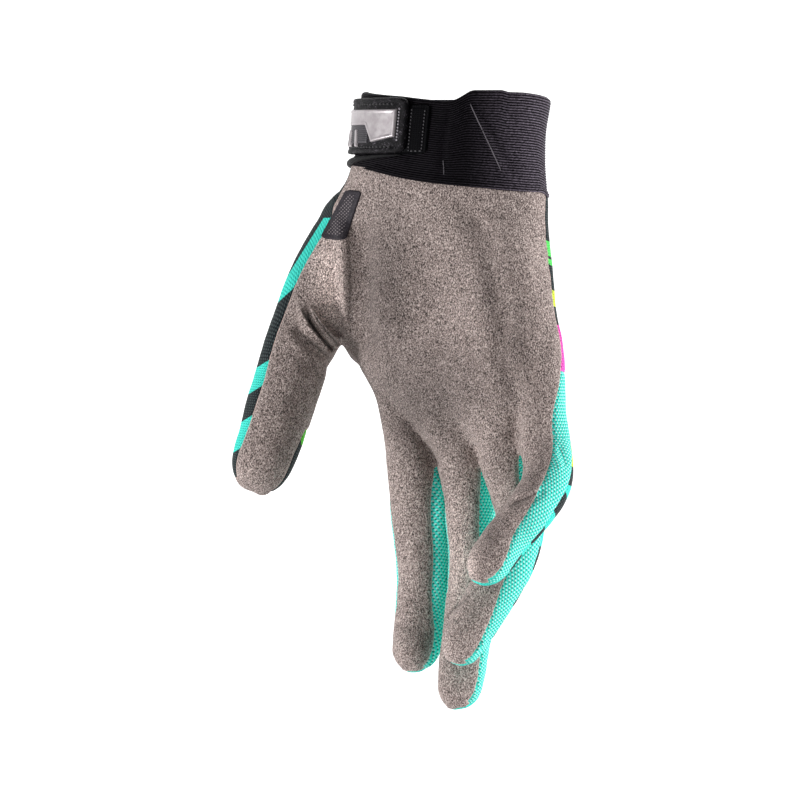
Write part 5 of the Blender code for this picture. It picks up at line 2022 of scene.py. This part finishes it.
@dataclass
class GripLabel:
    """The bare grip patch at the thumb's root, laid on the suede where the photograph shows it."""

    hand: Hand
    corners: tuple[tuple[float, float], ...] = (
        (-37.6, -36.4),
        (-31.6, -36.8),
        (-38.0, -55.2),
        (-47.4, -54.2),
    )
    round_off: float = 1.8
    wall: float = 0.6
    seat: float = 0.2
    lift: float = 0.35
    steps: int = 44

    def build(self) -> None:
        """Builds the patch: a grid between four corners, each point set on the nearest suede."""
        v = ((1 - np.cos(np.linspace(0, math.pi, self.steps))) / 2)[:, None, None]
        top_left, top_right, low_right, low_left = (np.array(c) for c in self.corners)
        tall, wide = np.linalg.norm(low_left - top_left), np.linalg.norm(top_right - top_left)
        inset = corner_inset(np.minimum(v, 1 - v) * tall, self.round_off) / wide
        u = inset + (1 - 2 * inset) * np.linspace(0, 1, self.steps)[None, :, None]
        seen = (1 - v) * ((1 - u) * top_left + u * top_right) + v * ((1 - u) * low_left + u * low_right)
        fine = self.hand.fine
        mine = np.unique(fine.quads[(fine.panel == Panel.PALM_PANEL) & (fine.digit != Digit.INDEX)])
        points, normals = fine.points[mine], self.hand.normals[mine]
        front = (normals @ VIEW_BACK > 0.0) & (points[:, 2] > -70) & (points @ VIEW_RIGHT < -20)
        points, normals = points[front], normals[front]
        flat = seen.reshape(-1, 2)
        away = np.linalg.norm(flat[:, None] - in_view(points)[None], axis=2)
        near = np.argpartition(away, 5, axis=1)[:, :5]
        weight = 1 / (np.take_along_axis(away, near, axis=1) + 0.05) ** 2
        weight /= weight.sum(axis=1, keepdims=True)
        depth = np.sum(weight * (points @ VIEW_BACK)[near], axis=1)
        out = unit(np.sum(weight[..., None] * normals[near], axis=1))
        base = flat[:, :1] * VIEW_RIGHT + depth[:, None] * VIEW_BACK + flat[:, 1:] * np.array([0, 0, 1.0])
        ring = np.array([top_left, top_right, low_right, low_left, top_left])
        rim, _ = line_distance(flat, ring)
        lift = self.lift + self.wall * (0.2 + 0.8 * rounded(rim, 0.5))
        shape = (self.steps, self.steps, 3)
        outer = (base + out * lift[:, None]).reshape(shape)
        inner = (base + out * self.seat).reshape(shape)
        numbers = {"rim": np.concatenate([rim, rim])}
        finish = LabelFinish().paint()
        make_slab("grip_patch", outer, inner, finish, ("grip_label",), tuple(flat.T), numbers)


@dataclass
class Studio:
    """Pale floor and backdrop, soft lights, and the long lens that sees the palm side. Sizes in metres."""

    distance: float = 6.0
    field_width: float = 0.296
    aim: tuple[float, float] = (-0.0179, -0.114)
    sensor: float = 36.0
    floor_z: float = -0.9
    bowl_radius: float = 9.0
    bowl_round: float = 3.0
    bowl_height: float = 6.5
    pale: tuple[float, float] = (0.10, 1.0)

    def camera(self) -> None:
        """Sets the camera level with the glove, round towards the little finger."""
        data = bpy.data.cameras.new("camera")
        data.sensor_width = self.sensor
        data.lens = self.sensor * self.distance / self.field_width
        data.clip_start = 0.05
        camera = add_object("camera", data)
        centre = VIEW_RIGHT * self.aim[0] + np.array([0, 0, self.aim[1]])
        camera.location = Vector(centre + VIEW_BACK * self.distance)
        camera.rotation_euler = (math.radians(90), 0, math.radians(VIEW_AZIMUTH))
        bpy.context.scene.camera = camera

    def bowl(self) -> None:
        """A floor that curves up to a wall all round: a profile with a quarter circle, turned about Z.

        It glows brightest behind the glove and least behind the camera, so that light still shapes the folds.
        Its outer side is clear: a camera under the floor sees the glove.
        """
        turn = np.linspace(0, math.pi / 2, 12)
        flat = self.bowl_radius - self.bowl_round
        out = np.concatenate([[0.02], flat + self.bowl_round * np.sin(turn), [self.bowl_radius]])
        up = np.concatenate([[0.0], self.bowl_round * (1 - np.cos(turn)), [self.bowl_height]]) + self.floor_z
        way = np.linspace(0, 2 * math.pi, 64, endpoint=False)
        x, y, z = np.broadcast_arrays(out[:, None] * np.cos(way), out[:, None] * np.sin(way), up[:, None])
        points = np.stack([x, y, z], axis=-1)
        index = close_round(np.arange(points.size // 3).reshape(points.shape[:2]))
        mesh = bpy.data.meshes.new("bowl")
        faces = grid_quads(index).tolist() + [index[0, -2::-1].tolist()]
        mesh.from_pydata(points.reshape(-1, 3).tolist(), [], faces)
        mesh.shade_smooth()
        paint = Paint("backdrop", 0.9)
        ahead = paint.vector("DOT_PRODUCT", paint.place(), {1: tuple(-VIEW_BACK)}, "Value")
        glow = paint.mix(ahead.smooth(-1.2, 2.0), (self.pale[0],) * 3, (self.pale[1],) * 3)
        paint.link("Emission Color", glow)
        paint.constant("Emission Strength", 1.0)
        paint.constant("Base Color", (0.6, 0.6, 0.6))
        paint.link("Alpha", ~paint.add("ShaderNodeNewGeometry", output="Backfacing"))
        paint.material.cycles.emission_sampling = "NONE"
        mesh.materials.append(paint.material)
        obj = add_object("bowl", mesh)

    def light(self, name: str, azimuth: float, elevation: float, size: float, power: float) -> None:
        """An area light that looks at the palm from an azimuth measured from the camera's."""
        data = bpy.data.lights.new(name, "AREA")
        data.shape = "DISK"
        data.size = size
        data.energy = power
        lamp = add_object(name, data)
        a, e = math.radians(VIEW_AZIMUTH + azimuth), math.radians(elevation)
        back = Vector((math.sin(a) * math.cos(e), -math.cos(a) * math.cos(e), math.sin(e)))
        target = Vector((0.0, -0.01, -0.11))
        lamp.location = target + back * 1.1
        lamp.rotation_euler = back.to_track_quat("Z", "Y").to_euler()

    def build(self) -> None:
        """Builds the camera, the bowl, the lights and an even pale sky."""
        self.camera()
        self.bowl()
        self.light("key", -70, -12, 0.30, 11.0)
        self.light("side", 80, 2, 0.35, 12.5)
        self.light("back", 170, 40, 0.7, 3.0)
        world = bpy.data.worlds.new("studio")
        world.use_nodes = True
        world.node_tree.nodes["Background"].inputs["Color"].default_value = (1.0, 1.0, 1.0, 1.0)
        world.node_tree.nodes["Background"].inputs["Strength"].default_value = 0.22
        bpy.context.scene.world = world
        bpy.context.scene.view_settings.view_transform = "Standard"


def main() -> None:
    """Builds the studio and the glove."""
    logging.basicConfig(level=logging.INFO, format="%(name)s: %(message)s")
    Studio().build()
    hand = Hand()
    hand.build()
    Cuff().build()
    strap = WristStrap()
    strap.build()
    Badge(strap).build()
    GripLabel(hand).build()


if __name__ == "__main__":
    main()
